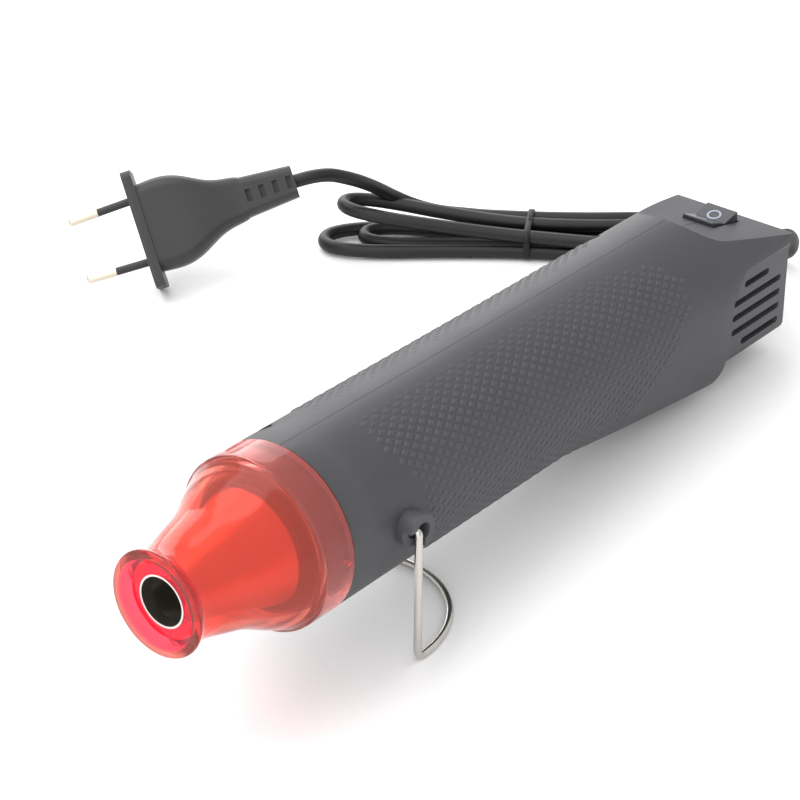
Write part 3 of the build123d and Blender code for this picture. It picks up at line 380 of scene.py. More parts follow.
@dataclass(frozen=True)
class Finish:
    """A solid material with its grain, colour change and relief.

    Attributes:
        name: The material's name.
        colour: Its main colour.
        shade: The colour that its grain blends into.
        roughness: Its middle roughness.
        spread: How far the roughness varies to each side.
        metallic: Its share of metal.
        grain: How it varies over its surface.
        scale: The grain's scale, per metre.
        relief: The grain's depth, in metres.
        coat: Weight of its clear coat.
        edge_wear: How much of the worn colour shows on edges.
        specular: Its specular level.
        seam_and_gap_shade_width: Half the width of its dark lines, in metres. At nought there are
            none.
            One runs where the housing's halves meet; the one round the nose is painted
            shade of the gap between the guard's collar and the housing.
        collar_gap_shade_station: Where the painted shade line round the nose lies behind the rim,
            in metres.
        coat_roughness: Roughness of the coat.
        brushed_stretch: Stretch of a brushed grain in the tool's frame.
        drawn_stretch: Stretch of a drawn grain in the tool's frame.
        broad_scale: Scale of the broad change, as a share of the grain's.
        cell_scale: Scale of the flakes, as a share of the grain's.
        cell_height: Share of the flakes in the relief.
        broad_height: Share of the broad change in the relief.
        fine_colour: Share of the grain in the colour change.
        wear_start: Pointiness at which wear starts.
        wear_gain: How fast wear grows past that.
        wear_lift: How many times paler the worn colour is.
        wear_floor: What is added to the worn colour.
        line_shade: How dark the lines are, as a share of the shade.
    """

    name: str
    colour: Colour
    shade: Colour
    roughness: float
    spread: float
    metallic: float = 0.0
    grain: Grain = Grain.MOULDED
    scale: float = 2200.0
    relief: float = 0.00002
    coat: float = 0.0
    edge_wear: float = 0.0
    specular: float = 0.5
    seam_and_gap_shade_width: float = 0.0
    collar_gap_shade_station: float = 0.0
    coat_roughness: float = 0.15
    brushed_stretch: Point = (1.0, 0.04, 1.0)
    drawn_stretch: Point = (0.15, 1.0, 0.15)
    broad_scale: float = 0.03
    cell_scale: float = 0.2
    cell_height: float = 0.6
    broad_height: float = 0.2
    fine_colour: float = 0.3
    wear_start: float = 0.52
    wear_gain: float = 12.0
    wear_lift: float = 1.7
    wear_floor: float = 0.02
    line_shade: float = 0.2

    def grain_vector(self, graph: Graph) -> Sock:
        """Give the coordinates that the grain runs along.

        Args:
            graph: The material's nodes.

        Returns:
            The coordinates.
        """
        if self.grain is Grain.BRUSHED:
            return graph.along_tool(self.brushed_stretch)
        if self.grain is Grain.DRAWN:
            return graph.along_tool(self.drawn_stretch)
        return graph.place()

    def build(self) -> bpy.types.Material:
        """Make the material.

        Returns:
            The material.
        """
        graph = Graph(self.name)
        vector = self.grain_vector(graph)
        fine = graph.noise(vector, self.scale, detail=2.0)
        broad = graph.noise(graph.place(), self.scale * self.broad_scale, detail=4.0, rough=0.6)
        if self.grain is Grain.FLAKED:
            cells = graph.out("ShaderNodeTexVoronoi", {"feature": "F1"},
                              {"Vector": vector, "Scale": self.scale * self.cell_scale})
            height = fine * (1 - self.cell_height) + cells * self.cell_height
        else:
            height = fine * (1 - self.broad_height) + broad * self.broad_height
        share = broad * (1 - self.fine_colour) + fine * self.fine_colour
        colour = graph.blend(share, self.colour, self.shade)
        if self.edge_wear:
            pointed = graph.out("ShaderNodeNewGeometry", {}, {}, "Pointiness")
            worn = ((pointed - self.wear_start) * self.wear_gain).share() * self.edge_wear
            pale = tuple(min(1.0, c * self.wear_lift + self.wear_floor) for c in self.colour)
            colour = graph.blend(worn, colour, pale)
        # Dark lines where the halves meet and round the nose; the one round the nose is painted
        # shade of the gap between the guard's collar and the housing.
        if self.seam_and_gap_shade_width:
            dark = tuple(c * self.line_shade for c in self.shade)
            for distance in (graph.across(), graph.station() - self.collar_gap_shade_station):
                side = distance / self.seam_and_gap_shade_width
                colour = graph.blend((1.0 - side * side).at_least(0.0), colour, dark)
        rough = self.roughness - self.spread + share * (2 * self.spread)
        return graph.finish({
            "Base Color": colour,
            "Roughness": rough,
            "Metallic": self.metallic,
            "Coat Weight": self.coat,
            "Coat Roughness": self.coat_roughness,
            "Specular IOR Level": self.specular,
            "Normal": graph.bump(height, self.relief),
        })


@dataclass(frozen=True)
class ClearRed:
    """Translucent red plastic, tinted all through, pinker in its front web, a little cloudy, and
    with painted sheen on its collar.

    Attributes:
        name: The material's name.
        colour: The skirt's colour.
        shade: The colour that the skirt's blends into.
        web: Colour of the dished web round the mouth.
        rim: Colour of the rim.
        collar: Colour of the collar, a paler, greyer red that paints the sheen of its surface
            reflection over the dark nose.
        web_radius: Radius of the web, in metres.
        web_depth: How far behind the rim its colour reaches, in metres.
        rim_depth: How wide the rim's colour is along the axis, in metres.
        collar_start: Where the collar starts behind the rim, in metres.
        sharpness: How fast one colour turns into the next, per metre.
        roughness: Its least roughness.
        cloud: Share of it that is cloudy.
        broad_scale: Scale of the colour change, per metre.
        fine_scale: Scale of the relief, per metre.
        fine_roughness: How much the relief adds to the roughness.
        relief: The relief's depth, in metres.
        ior: Its index of refraction.
        coat: Weight of its clear coat.
        coat_roughness: Roughness of the coat.
        coat_ior: Index of refraction of the coat.
    """

    name: str = "guard_clear_red"
    colour: Colour = (1.0, 0.24, 0.17)
    shade: Colour = (1.0, 0.18, 0.13)
    web: Colour = (1.0, 0.05, 0.14)
    rim: Colour = (0.60, 0.17, 0.14)
    # Paler, greyer red: painted sheen of the collar's surface reflection.
    collar: Colour = (0.90, 0.30, 0.27)
    web_radius: float = 0.0118
    web_depth: float = 0.0050
    rim_depth: float = 0.0022
    collar_start: float = 0.0325
    sharpness: float = 1500.0
    roughness: float = 0.06
    cloud: float = 0.14
    broad_scale: float = 60.0
    fine_scale: float = 900.0
    fine_roughness: float = 0.05
    relief: float = 0.000012
    ior: float = 1.22
    coat: float = 0.18
    coat_roughness: float = 0.06
    coat_ior: float = 1.4

    def share(self, past: Sock) -> Sock:
        """Turn a distance past a border into a share from nought to one.

        Args:
            past: The distance past the border, in metres.

        Returns:
            The share.
        """
        return (past * self.sharpness).share()

    def build(self) -> bpy.types.Material:
        """Make the material.

        Returns:
            The material.
        """
        graph = Graph(self.name)
        broad = graph.noise(graph.place(), self.broad_scale, detail=3.0)
        fine = graph.noise(graph.place(), self.fine_scale, detail=2.0)
        colour = graph.blend(broad, self.colour, self.shade)
        station, radius = graph.station(), graph.radius()
        inner = self.share(self.web_radius - radius)
        colour = graph.blend(inner * self.share(self.web_depth - station), colour, self.web)
        colour = graph.blend((1.0 - inner) * self.share(self.rim_depth - station), colour, self.rim)
        # Painted sheen: the collar takes a paler, greyer red for the surface reflection over the
        # dark nose behind it.
        colour = graph.blend(self.share(station - self.collar_start), colour, self.collar)
        return graph.finish({
            "Base Color": colour,
            "Roughness": self.roughness + fine * self.fine_roughness,
            "IOR": self.ior,
            "Transmission Weight": 1.0 - self.cloud,
            "Coat Weight": self.coat,
            "Coat Roughness": self.coat_roughness,
            "Coat IOR": self.coat_ior,
            "Normal": graph.bump(fine, self.relief),
        })


def dress(node: bpy.types.Object, material: bpy.types.Material) -> None:
    """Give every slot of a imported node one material.

    Args:
        node: The node's object.
        material: The material.
    """
    if not node.material_slots:
        node.data.materials.append(material)
    for slot in node.material_slots:
        slot.material = material


def heal_seam(node: bpy.types.Object, near: float = 0.00002, skin: float = 0.3) -> None:
    """Turn a half shell's normals at its meeting edge into the middle plane.

    The two halves then look as one. No point is moved.

    Args:
        node: The half shell.
        near: How close to the plane a corner counts as on the edge, in metres.
        skin: Largest sideways share of a normal that still belongs to the skin.
    """
    mesh = node.data
    normals = [Vector(corner.vector) for corner in mesh.corner_normals]
    for corner, normal in zip(mesh.loops, normals):
        if abs(mesh.vertices[corner.vertex_index].co.y) < near and abs(normal.y) < skin:
            normal.y = 0.0
            normal.normalize()
    mesh.normals_split_custom_set(normals)


def skin_tree(node: bpy.types.Object) -> BVHTree:
    """Make the search tree of a node's faces.

    Args:
        node: The node's object.

    Returns:
        The tree.
    """
    mesh = node.data
    corners = [point.co for point in mesh.vertices]
    return BVHTree.FromPolygons(corners, [tuple(face.vertices) for face in mesh.polygons])


def tube_faces(start: int, rows: int, sides: int, closed: bool) -> List[Face]:
    """Give the faces of a tube whose points come ring by ring.

    Args:
        start: Number of its first point.
        rows: Number of its rings.
        sides: Points in a ring.
        closed: Whether the last ring meets the first. If not, both ends are capped.

    Returns:
        The faces.
    """
    faces: List[Face] = []
    for i in range(rows if closed else rows - 1):
        here, ahead = start + i * sides, start + (i + 1) % rows * sides
        for j in range(sides):
            k = (j + 1) % sides
            faces.append((here + j, ahead + j, ahead + k, here + k))
    if not closed:
        last = start + (rows - 1) * sides
        faces.append(tuple(range(start, start + sides)))
        faces.append(tuple(range(last, last + sides)))
    return faces


def add_object(name: str, data: bpy.types.ID) -> bpy.types.Object:
    """Put an object into the scene.

    Args:
        name: The object's name.
        data: Its mesh, curve, camera or light.

    Returns:
        The object.
    """
    made = bpy.data.objects.new(name, data)
    bpy.context.scene.collection.objects.link(made)
    return made


def mesh_piece(name: str, points: Sequence[Sequence[float]], faces: Sequence[Sequence[int]],
               material: bpy.types.Material, smooth: bool = True) -> bpy.types.Object:
    """Make a mesh object in the row frame.

    Args:
        name: The piece's name.
        points: Its points.
        faces: Its faces, by point number.
        material: Its material.
        smooth: Whether its faces are smooth.

    Returns:
        The object.
    """
    mesh = bpy.data.meshes.new(name)
    mesh.from_pydata([tuple(p) for p in points], [], [tuple(f) for f in faces])
    mesh.validate()
    made = bmesh.new()
    made.from_mesh(mesh)
    bmesh.ops.recalc_face_normals(made, faces=made.faces)
    made.to_mesh(mesh)
    made.free()
    for face in mesh.polygons:
        face.use_smooth = smooth
    mesh.materials.append(material)
    return add_object(name, mesh)


@dataclass
class Camera:
    """The photograph's camera.

    Attributes:
        position: Where it is, in metres.
        right: Its axis to the right.
        up: Its axis upwards.
        back: Its axis away from the tool.
        lens: Its focal length, in millimetres.
        sensor: Its sensor's width, in millimetres.
        nearest: The nearest distance that it shows, in metres.
        farthest: The farthest one, in metres.
    """

    position: Point = (-0.47478, -0.36994, 0.41430)
    right: Point = (0.6311, -0.7749, -0.0352)
    up: Point = (0.4358, 0.3166, 0.8425)
    back: Point = (-0.6418, -0.5470, 0.5375)
    lens: float = 126.33
    sensor: float = 36.0
    nearest: float = 0.01
    farthest: float = 20.0

    def build(self) -> None:
        """Make the camera and give it to the scene."""
        data = bpy.data.cameras.new("camera")
        data.lens = self.lens
        data.sensor_width = self.sensor
        data.clip_start = self.nearest
        data.clip_end = self.farthest
        camera = add_object("camera", data)
        turn = Matrix((self.right, self.up, self.back)).transposed()
        camera.matrix_world = Matrix.Translation(self.position) @ turn.to_4x4()
        bpy.context.scene.camera = camera


@dataclass
class FreeCord:
    """The mains cord: its lead from the boot, its hank and its lead to the plug.

    Attributes:
        width: Its thickness, in metres.
        length: Its length, in metres.
        steps_round: Resolution of its section.
        steps_along: Steps from one point of the route to the next.
        route: Its route, in millimetres from under the rim.
    """

    width: float = 0.0041
    length: float = 0.81
    steps_round: int = 5
    steps_along: int = 12
    route: Tuple[Point, ...] = (
        (256.5, 0, 17.9), (260.9, 0, 17.6), (265.9, 0.5, 13.2), (269.0, 3.2, 6.8),
        (271.9, 9.4, 2.7),
        (273.6, 18.2, 2.3), (273.0, 28.2, 2.4), (269.2, 38.7, 2.5), (263.7, 45.9, 2.5),
        (248.5, 65.9, 2.5), (235.0, 88.1, 2.5), (207.5, 128.5, 2.5), (194.5, 119.7, 2.5),
        (223.7, 81.3, 2.5), (237.2, 59.1, 2.5), (250.7, 29.9, 2.5), (264.2, 38.0, 2.5),
        (244.7, 63.6, 2.5), (231.3, 85.9, 2.5), (215.6, 119.4, 2.5), (205.1, 113.0, 2.5),
        (227.5, 83.6, 2.5), (240.9, 61.3, 2.5), (251.2, 39.2, 6.7),
        (259.5, 44.2, 6.7), (244.7, 63.6, 6.7), (231.3, 85.9, 7.4), (212.5, 124.0, 13.0),
        (200.5, 117.0, 14.5), (224.5, 81.8, 7.8), (237.2, 59.1, 6.7), (249.9, 31.8, 6.7),
        (266.7, 42.0, 6.7), (248.5, 65.9, 6.7), (235.0, 88.1, 6.7), (232.1, 94.5, 6.7),
        (228.7, 101.8, 6.7), (224.9, 108.0, 8.5), (219.4, 111.8, 12.9), (212.0, 113.2, 19.2),
        (203.4, 114.3, 25.2), (194.2, 117.9, 29.9), (188.3, 123.0, 28.1),
    )

    def build(self, finish: bpy.types.Material) -> bpy.types.Object:
        """Make the cord as one smooth curve.

        Args:
            finish: The cord's material.

        Returns:
            The cord.
        """
        curve = bpy.data.curves.new("mains_cord", "CURVE")
        curve.dimensions = "3D"
        curve.bevel_depth = self.width / 2
        curve.bevel_resolution = self.steps_round
        curve.resolution_u = self.steps_along
        points = stood(self.route)
        spline = curve.splines.new("NURBS")
        spline.points.add(len(points) - 1)
        for point, place in zip(spline.points, points):
            point.co = (*place, 1.0)
        spline.order_u = 3
        spline.use_endpoint_u = True
        spline.use_smooth = True
        curve.materials.append(finish)
        cord = add_object("mains_cord", curve)
        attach(cord, Body.TOOL.value)
        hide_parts("cord_lead", "cord_hank", "cord_plug_lead")
        return cord

    def declare(self) -> None:
        """Say what cord it is.
        """
        log.info("mains_cord %.3f m", self.length)


@dataclass
class HankTie:
    """A flat band round the middle of the hank, with its twisted ends, in millimetres.

    Attributes:
        middle: Where it lies, from under the rim.
        heading: Which way the hank runs there.
        half_span: Half its reach across the hank.
        low: Its least height.
        high: Its greatest height.
        power: How square its outline is.
        band: Its width along the hank.
        thick: Its thickness.
        steps: Points round it.
        profile: Its section, as shares of the width and of the thickness.
        end_steps: Steps along a twisted end.
        end_sides: Points round an end.
        end_radius: An end's radius.
        end_taper: How much thinner an end's tip is, as a share.
        end_bluntness: How late the taper sets in.
        end_place: Where the ends lie across the hank.
        end_swing: How far the ends swing round each other.
        end_half_turns: Half turns of an end.
        end_parting: How far each tip leans away.
        end_sink: How far under the band's top an end starts.
        end_climb: How far an end rises.
    """

    middle: Pair = (236.1, 73.6)
    heading: Pair = (-0.517, 0.856)
    half_span: float = 8.9
    low: float = 0.35
    high: float = 9.3
    power: float = 5.0
    band: float = 1.8
    thick: float = 0.6
    steps: int = 48
    profile: Tuple[Pair, ...] = (
        (-0.5, -0.35), (-0.35, -0.5), (0.35, -0.5), (0.5, -0.35), (0.5, 0.35), (0.35, 0.5),
        (0.0, 0.62), (-0.35, 0.5), (-0.5, 0.35),
    )
    end_steps: int = 14
    end_sides: int = 8
    end_radius: float = 0.42
    end_taper: float = 0.5
    end_bluntness: int = 6
    end_place: float = 1.5
    end_swing: float = 0.45
    end_half_turns: float = 2.5
    end_parting: float = 1.2
    end_sink: float = 0.5
    end_climb: float = 1.1

    def put(self, along: float, side: float, level: float) -> Vector:
        """Turn a point of the hank's own frame into the row frame.

        Args:
            along: Distance along the hank, in millimetres.
            side: Distance across the hank, in millimetres.
            level: Height, in millimetres.

        Returns:
            The point, in metres.
        """
        norm = math.hypot(*self.heading)
        hx, hy = self.heading[0] / norm, self.heading[1] / norm
        x = self.middle[0] + hx * along + hy * side
        y = self.middle[1] + hy * along - hx * side
        return stood([(x, y, level)])[0]

    def ring(self) -> List[Pair]:
        """Give the band's middle line across the hank.

        Returns:
            Points across the hank and up.
        """
        points = []
        centre = (self.low + self.high) / 2
        tall = (self.high - self.low) / 2
        for i in range(self.steps):
            angle = 2 * math.pi * i / self.steps
            c, s = math.cos(angle), math.sin(angle)
            reach = 1 / (abs(c) ** self.power + abs(s) ** self.power) ** (1 / self.power)
            points.append((self.half_span * c * reach, centre + tall * s * reach))
        return points

    def build(self, finish: bpy.types.Material) -> bpy.types.Object:
        """Make the tie.

        Args:
            finish: Its material.

        Returns:
            The tie.
        """
        points: List[Vector] = []
        ring = self.ring()
        for i, (across, up) in enumerate(ring):
            before, after = ring[i - 1], ring[(i + 1) % self.steps]
            tangent = Vector((after[0] - before[0], after[1] - before[1])).normalized()
            for along, off in self.profile:
                side = across + tangent.y * off * self.thick
                level = up - tangent.x * off * self.thick
                points.append(self.put(along * self.band, side, level))
        faces = tube_faces(0, self.steps, len(self.profile), closed=True)
        for sign in (-1, 1):
            self.tail(points, faces, sign)
        tie = mesh_piece("hank_tie", points, faces, finish)
        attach(tie, Body.TOOL.value)
        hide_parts("cord_tie")
        log.info("hank_tie %d faces", len(faces))
        return tie

    def tail(self, points: List[Vector], faces: List[Face], sign: int) -> None:
        """Add one twisted end of the tie.

        Args:
            points: The tie's points, added to.
            faces: The tie's faces, added to.
            sign: Which of the two ends.
        """
        start = len(points)
        for i in range(self.end_steps + 1):
            share = i / self.end_steps
            turn = share * self.end_half_turns * math.pi + (math.pi if sign > 0 else 0)
            swing = self.end_swing * (1 - share)
            middle = self.end_place + swing * math.cos(turn) + share ** 2 * sign * self.end_parting
            level = self.high - self.end_sink + share * self.end_climb
            radius = self.end_radius * (1 - self.end_taper * share ** self.end_bluntness)
            for j in range(self.end_sides):
                angle = 2 * math.pi * j / self.end_sides
                along = swing * math.sin(turn) + radius * math.sin(angle)
                points.append(self.put(along, middle + radius * math.cos(angle), level))
        faces += tube_faces(start, self.end_steps + 1, self.end_sides, closed=False)


@dataclass
class Knurl:
    """Raised diamond tiles of the grip on one side of the housing, in millimetres and degrees.

    Attributes:
        name: The piece's name.
        node: The half of the housing that it lies on.
        mirror: 1 for the left side and -1 for the right.
        pitch_along: The lattice's pitch along the grip.
        pitch_round: Its pitch round the grip.
        radius: The grip's radius, which turns that pitch into an angle.
        fill: A tile's size at its foot, as a share of the pitch.
        crown: Its size at its top, as a share of the pitch.
        height: Its height.
        sink: How deep its foot lies in the skin.
        fade_angle: Angle up from the side where the tiles would be gone.
        fade_span: The angle before it in which they fade.
        faintest: Least height of a tile, as a share.
        first_station: Where the lattice starts behind the rim.
        reach_along: How far it reaches along the grip.
        reach_round: How far it reaches up and down round the grip.
        ray: How far from the axis the search for the skin starts.
        outline: The textured patch, by station and angle up from the side.
    """

    name: str
    node: str
    mirror: float
    pitch_along: float = 4.1
    pitch_round: float = 2.75
    radius: float = 22.2
    fill: float = 0.80
    crown: float = 0.42
    height: float = 0.26
    sink: float = 0.05
    fade_angle: float = 82.0
    fade_span: float = 34.0
    faintest: float = 0.12
    first_station: float = 60.0
    reach_along: float = 130.0
    reach_round: float = 150.0
    ray: float = 60.0
    outline: Tuple[Pair, ...] = (
        (61.7, 77), (63.3, 50), (66.5, 34), (68.8, 21), (68.7, 7), (70.9, -10), (75.0, -34),
        (80.0, -58), (110.0, -60), (135.0, -52), (150.0, -34), (163.0, -18), (172.0, 0),
        (181.0, 20), (184.0, 46), (176.0, 64), (162.0, 74), (150.0, 78),
    )

    def inside(self, x: float, angle: float) -> bool:
        """Say if a place is in the textured patch.

        Args:
            x: Distance behind the rim in millimetres.
            angle: Angle up from the side, in degrees.

        Returns:
            True if the place is in the patch.
        """
        found = False
        for (ax, aa), (bx, ba) in zip(self.outline, self.outline[1:] + self.outline[:1]):
            if (aa > angle) != (ba > angle):
                if x < ax + (bx - ax) * (angle - aa) / (ba - aa):
                    found = not found
        return found

    def on_skin(self, tree: BVHTree, x: float, angle: float) -> Optional[Tuple[Vector, Vector]]:
        """Find the skin's point at a station and an angle.

        Args:
            tree: The housing's faces.
            x: Distance behind the rim in millimetres.
            angle: Angle up from the side, in degrees.

        Returns:
            The point and its normal, or None where there is no skin.
        """
        turn = math.radians(angle)
        y, z = -math.cos(turn) * self.mirror, math.sin(turn)
        axis = tool_point(x * MM, 0.0, 0.0)
        ray = self.ray * MM
        far = tool_point(x * MM, y * ray, z * ray)
        place, normal, _, _ = tree.ray_cast(far, (axis - far).normalized(), ray)
        if place is None:
            return None
        if normal.dot(far - axis) < 0:
            normal = -normal
        return place, normal

    def build(self, nodes: Dict[str, bpy.types.Object],
              finish: bpy.types.Material) -> bpy.types.Object:
        """Make the tiles.

        Args:
            nodes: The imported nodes.
            finish: The housing's material.

        Returns:
            The piece.
        """
        tree = skin_tree(nodes[self.node])
        step = math.degrees(self.pitch_round / self.radius)
        points: List[Vector] = []
        faces: List[Face] = []
        rows = int(self.reach_round / step * 2)
        for row in range(-rows, rows):
            angle = row * step / 2
            shift = self.pitch_along / 2 * (row % 2)
            for column in range(int(self.reach_along / self.pitch_along)):
                x = self.first_station + column * self.pitch_along + shift
                if self.inside(x, angle):
                    self.tile(tree, x, angle, step, points, faces)
        piece = mesh_piece(self.name, points, faces, finish, smooth=False)
        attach(piece, Body.TOOL.value)
        log.info("%s %d faces", self.name, len(faces))
        return piece

    def tile(self, tree: BVHTree, x: float, angle: float, step: float,
             points: List[Vector], faces: List[Face]) -> None:
        """Add one tile, a low pyramid without its top.

        Args:
            tree: The housing's faces.
            x: The tile's station in millimetres.
            angle: Its angle in degrees.
            step: The lattice's step round the grip, in degrees.
            points: Points, added to.
            faces: Faces, added to.
        """
        fade = min(1.0, max(self.faintest, (self.fade_angle - angle) / self.fade_span))
        corners: List[Vector] = []
        for dx, da in ((-0.5, 0.0), (0.0, -0.5), (0.5, 0.0), (0.0, 0.5)):
            for share, rise in ((self.fill, -self.sink), (self.crown, self.height * fade)):
                found = self.on_skin(tree, x + dx * share * self.pitch_along,
                                     angle + da * share * step)
                if found is None:
                    return
                corners.append(found[0] + found[1] * rise * MM)
        start = len(points)
        points += corners
        base = tuple(range(start, start + len(corners), 2))
        top = tuple(b + 1 for b in base)
        faces.append(top)
        for i in range(4):
            j = (i + 1) % 4
            faces.append((base[i], base[j], top[j], top[i]))


@dataclass
class RockerMarks:
    """The ring and the bar on the rocker, which say off and on, in millimetres.

    Attributes:
        ring_radius: Radius of the ring's middle line.
        line: Half the width of a line.
        bar_half: Half the bar's length.
        rise: How far a line stands above the rocker.
        ring_place: Where the ring lies behind the rocker's middle.
        bar_place: Where the bar lies behind it.
        crest: Share of a line's width that lies on top.
        skirt: How far a line's edges drop, as a share of its rise.
        steps: Points round the ring.
        bar_steps: Steps along the bar.
        above: How far above the rocker the search for its top starts.
        ray: How far down the search reaches.
    """

    ring_radius: float = 1.75
    line: float = 0.32
    bar_half: float = 1.1
    rise: float = 0.09
    ring_place: float = 2.35
    bar_place: float = -3.1
    crest: float = 0.8
    skirt: float = 1.6
    steps: int = 40
    bar_steps: int = 6
    above: float = 10.0
    ray: float = 40.0

    def face_point(self, tree: BVHTree, along: float, across: float) -> Vector:
        """Find a point on the rocker's top.

        Args:
            tree: The rocker's faces.
            along: Distance behind the rocker's middle, in millimetres.
            across: Distance to the right, in millimetres.

        Returns:
            The point, a little above the top.
        """
        low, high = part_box("switch_rocker")
        middle = (low + high) / 2
        start = Vector((middle.x + along * MM, middle.y + across * MM, high.z + self.above * MM))
        place, normal, _, _ = tree.ray_cast(start, Vector((0, 0, -1)), self.ray * MM)
        if normal.z < 0:
            normal = -normal
        return place + normal * self.rise * MM

    def strip(self, tree: BVHTree, line: Sequence[Pair], closed: bool,
              points: List[Vector], faces: List[Face]) -> None:
        """Add a raised line that follows the rocker's top.

        Args:
            tree: The rocker's faces.
            line: Its middle points, along and across.
            closed: Whether its ends meet.
            points: Points, added to.
            faces: Faces, added to.
        """
        start, n = len(points), len(line)
        profile = ((-1, -1), (-self.crest, 0), (self.crest, 0), (1, -1))
        for i, (along, across) in enumerate(line):
            before = line[i - 1] if closed or i else line[i]
            after = line[(i + 1) % n] if closed or i < n - 1 else line[i]
            t = Vector((after[0] - before[0], after[1] - before[1])).normalized()
            for side, lift in profile:
                off = side * self.line
                p = self.face_point(tree, along - t.y * off, across + t.x * off)
                points.append(p + Vector((0, 0, lift * self.rise * MM * self.skirt)))
        faces += tube_faces(start, n, len(profile), closed)

    def build(self, nodes: Dict[str, bpy.types.Object],
              finish: bpy.types.Material) -> bpy.types.Object:
        """Make the marks.

        Args:
            nodes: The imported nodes.
            finish: Their pale print.

        Returns:
            The piece.
        """
        tree = skin_tree(nodes["switch_rocker"])
        points: List[Vector] = []
        faces: List[Face] = []
        turns = [2 * math.pi * i / self.steps for i in range(self.steps)]
        ring = [(self.ring_place + self.ring_radius * math.cos(turn),
                 self.ring_radius * math.sin(turn)) for turn in turns]
        self.strip(tree, ring, True, points, faces)
        bar = [(self.bar_place, self.bar_half * (2 * i / self.bar_steps - 1))
               for i in range(self.bar_steps + 1)]
        self.strip(tree, bar, False, points, faces)
        piece = mesh_piece("rocker_marks", points, faces, finish)
        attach(piece, Body.ROCKER.value)
        log.info("rocker_marks %d faces", len(faces))
        return piece


@dataclass(frozen=True)
class Lamp:
    """One soft square light.

    Attributes:
        name: The light's name.
        place: Where it is, in metres.
        size: Its side, in metres.
        power: Its power, in watts.
    """

    name: str
    place: Point
    size: float
    power: float

    def build(self, aim: Point) -> None:
        """Make the light.

        Args:
            aim: What it points at.
        """
        data = bpy.data.lights.new(self.name, "AREA")
        data.shape = "SQUARE"
        data.size = self.size
        data.energy = self.power
        light = add_object(self.name, data)
        light.location = self.place
        turn = (Vector(aim) - Vector(self.place)).to_track_quat("-Z", "Y")
        light.rotation_euler = turn.to_euler()


@dataclass
class Studio:
    """Pale floor, soft lights and a bright surround.

    Attributes:
        floor_side: The floor's side, in metres.
        floor_steps: Squares along it.
        paper: The floor's colour.
        paper_shade: The colour that it blends into.
        paper_scale: Scale of the floor's grain, per metre.
        paper_roughness: The floor's roughness.
        paper_specular: The floor's specular level.
        paper_relief: Depth of the floor's grain, in metres.
        surround: Strength of the surround.
        centre: What the lights point at, in metres.
        lamps: The lights.
    """

    floor_side: float = 4.0
    floor_steps: int = 8
    paper: Colour = (0.90, 0.90, 0.905)
    paper_shade: Colour = (0.915, 0.915, 0.92)
    paper_scale: float = 300.0
    paper_roughness: float = 0.6
    paper_specular: float = 0.2
    paper_relief: float = 0.00001
    surround: float = 0.98
    centre: Point = (0.0, 0.02, 0.03)
    lamps: Tuple[Lamp, ...] = (
        Lamp("key", (-0.25, 0.35, 0.95), size=0.9, power=7.0),
        Lamp("rim", (0.55, 0.75, 0.45), size=0.7, power=4.5),
        Lamp("fill", (-0.75, -0.35, 0.45), size=0.8, power=3.0),
    )

    def floor(self) -> None:
        """Make the floor."""
        graph = Graph("floor_paper")
        soft = graph.noise(graph.place(), self.paper_scale, detail=2.0)
        material = graph.finish({
            "Base Color": graph.blend(soft, self.paper, self.paper_shade),
            "Roughness": self.paper_roughness,
            "Specular IOR Level": self.paper_specular,
            "Normal": graph.bump(soft, self.paper_relief),
        })
        count = self.floor_steps + 1
        marks = [self.floor_side * (i / self.floor_steps - 0.5) for i in range(count)]
        points = [(x, y, 0.0) for x in marks for y in marks]
        corners = [i * count + j for i in range(self.floor_steps) for j in range(self.floor_steps)]
        faces = [(c, c + count, c + count + 1, c + 1) for c in corners]
        mesh_piece("floor", points, faces, material, smooth=False)

    def build(self) -> None:
        """Make the floor, the lights and the surround."""
        self.floor()
        world = bpy.data.worlds.new("surround")
        world.use_nodes = True
        background = world.node_tree.nodes["Background"]
        background.inputs["Color"].default_value = (1.0, 1.0, 1.0, 1.0)
        background.inputs["Strength"].default_value = self.surround
        bpy.context.scene.world = world
        for lamp in self.lamps:
            lamp.build(self.centre)
        bpy.context.scene.view_settings.view_transform = "Standard"
        bpy.context.scene.view_settings.look = "None"


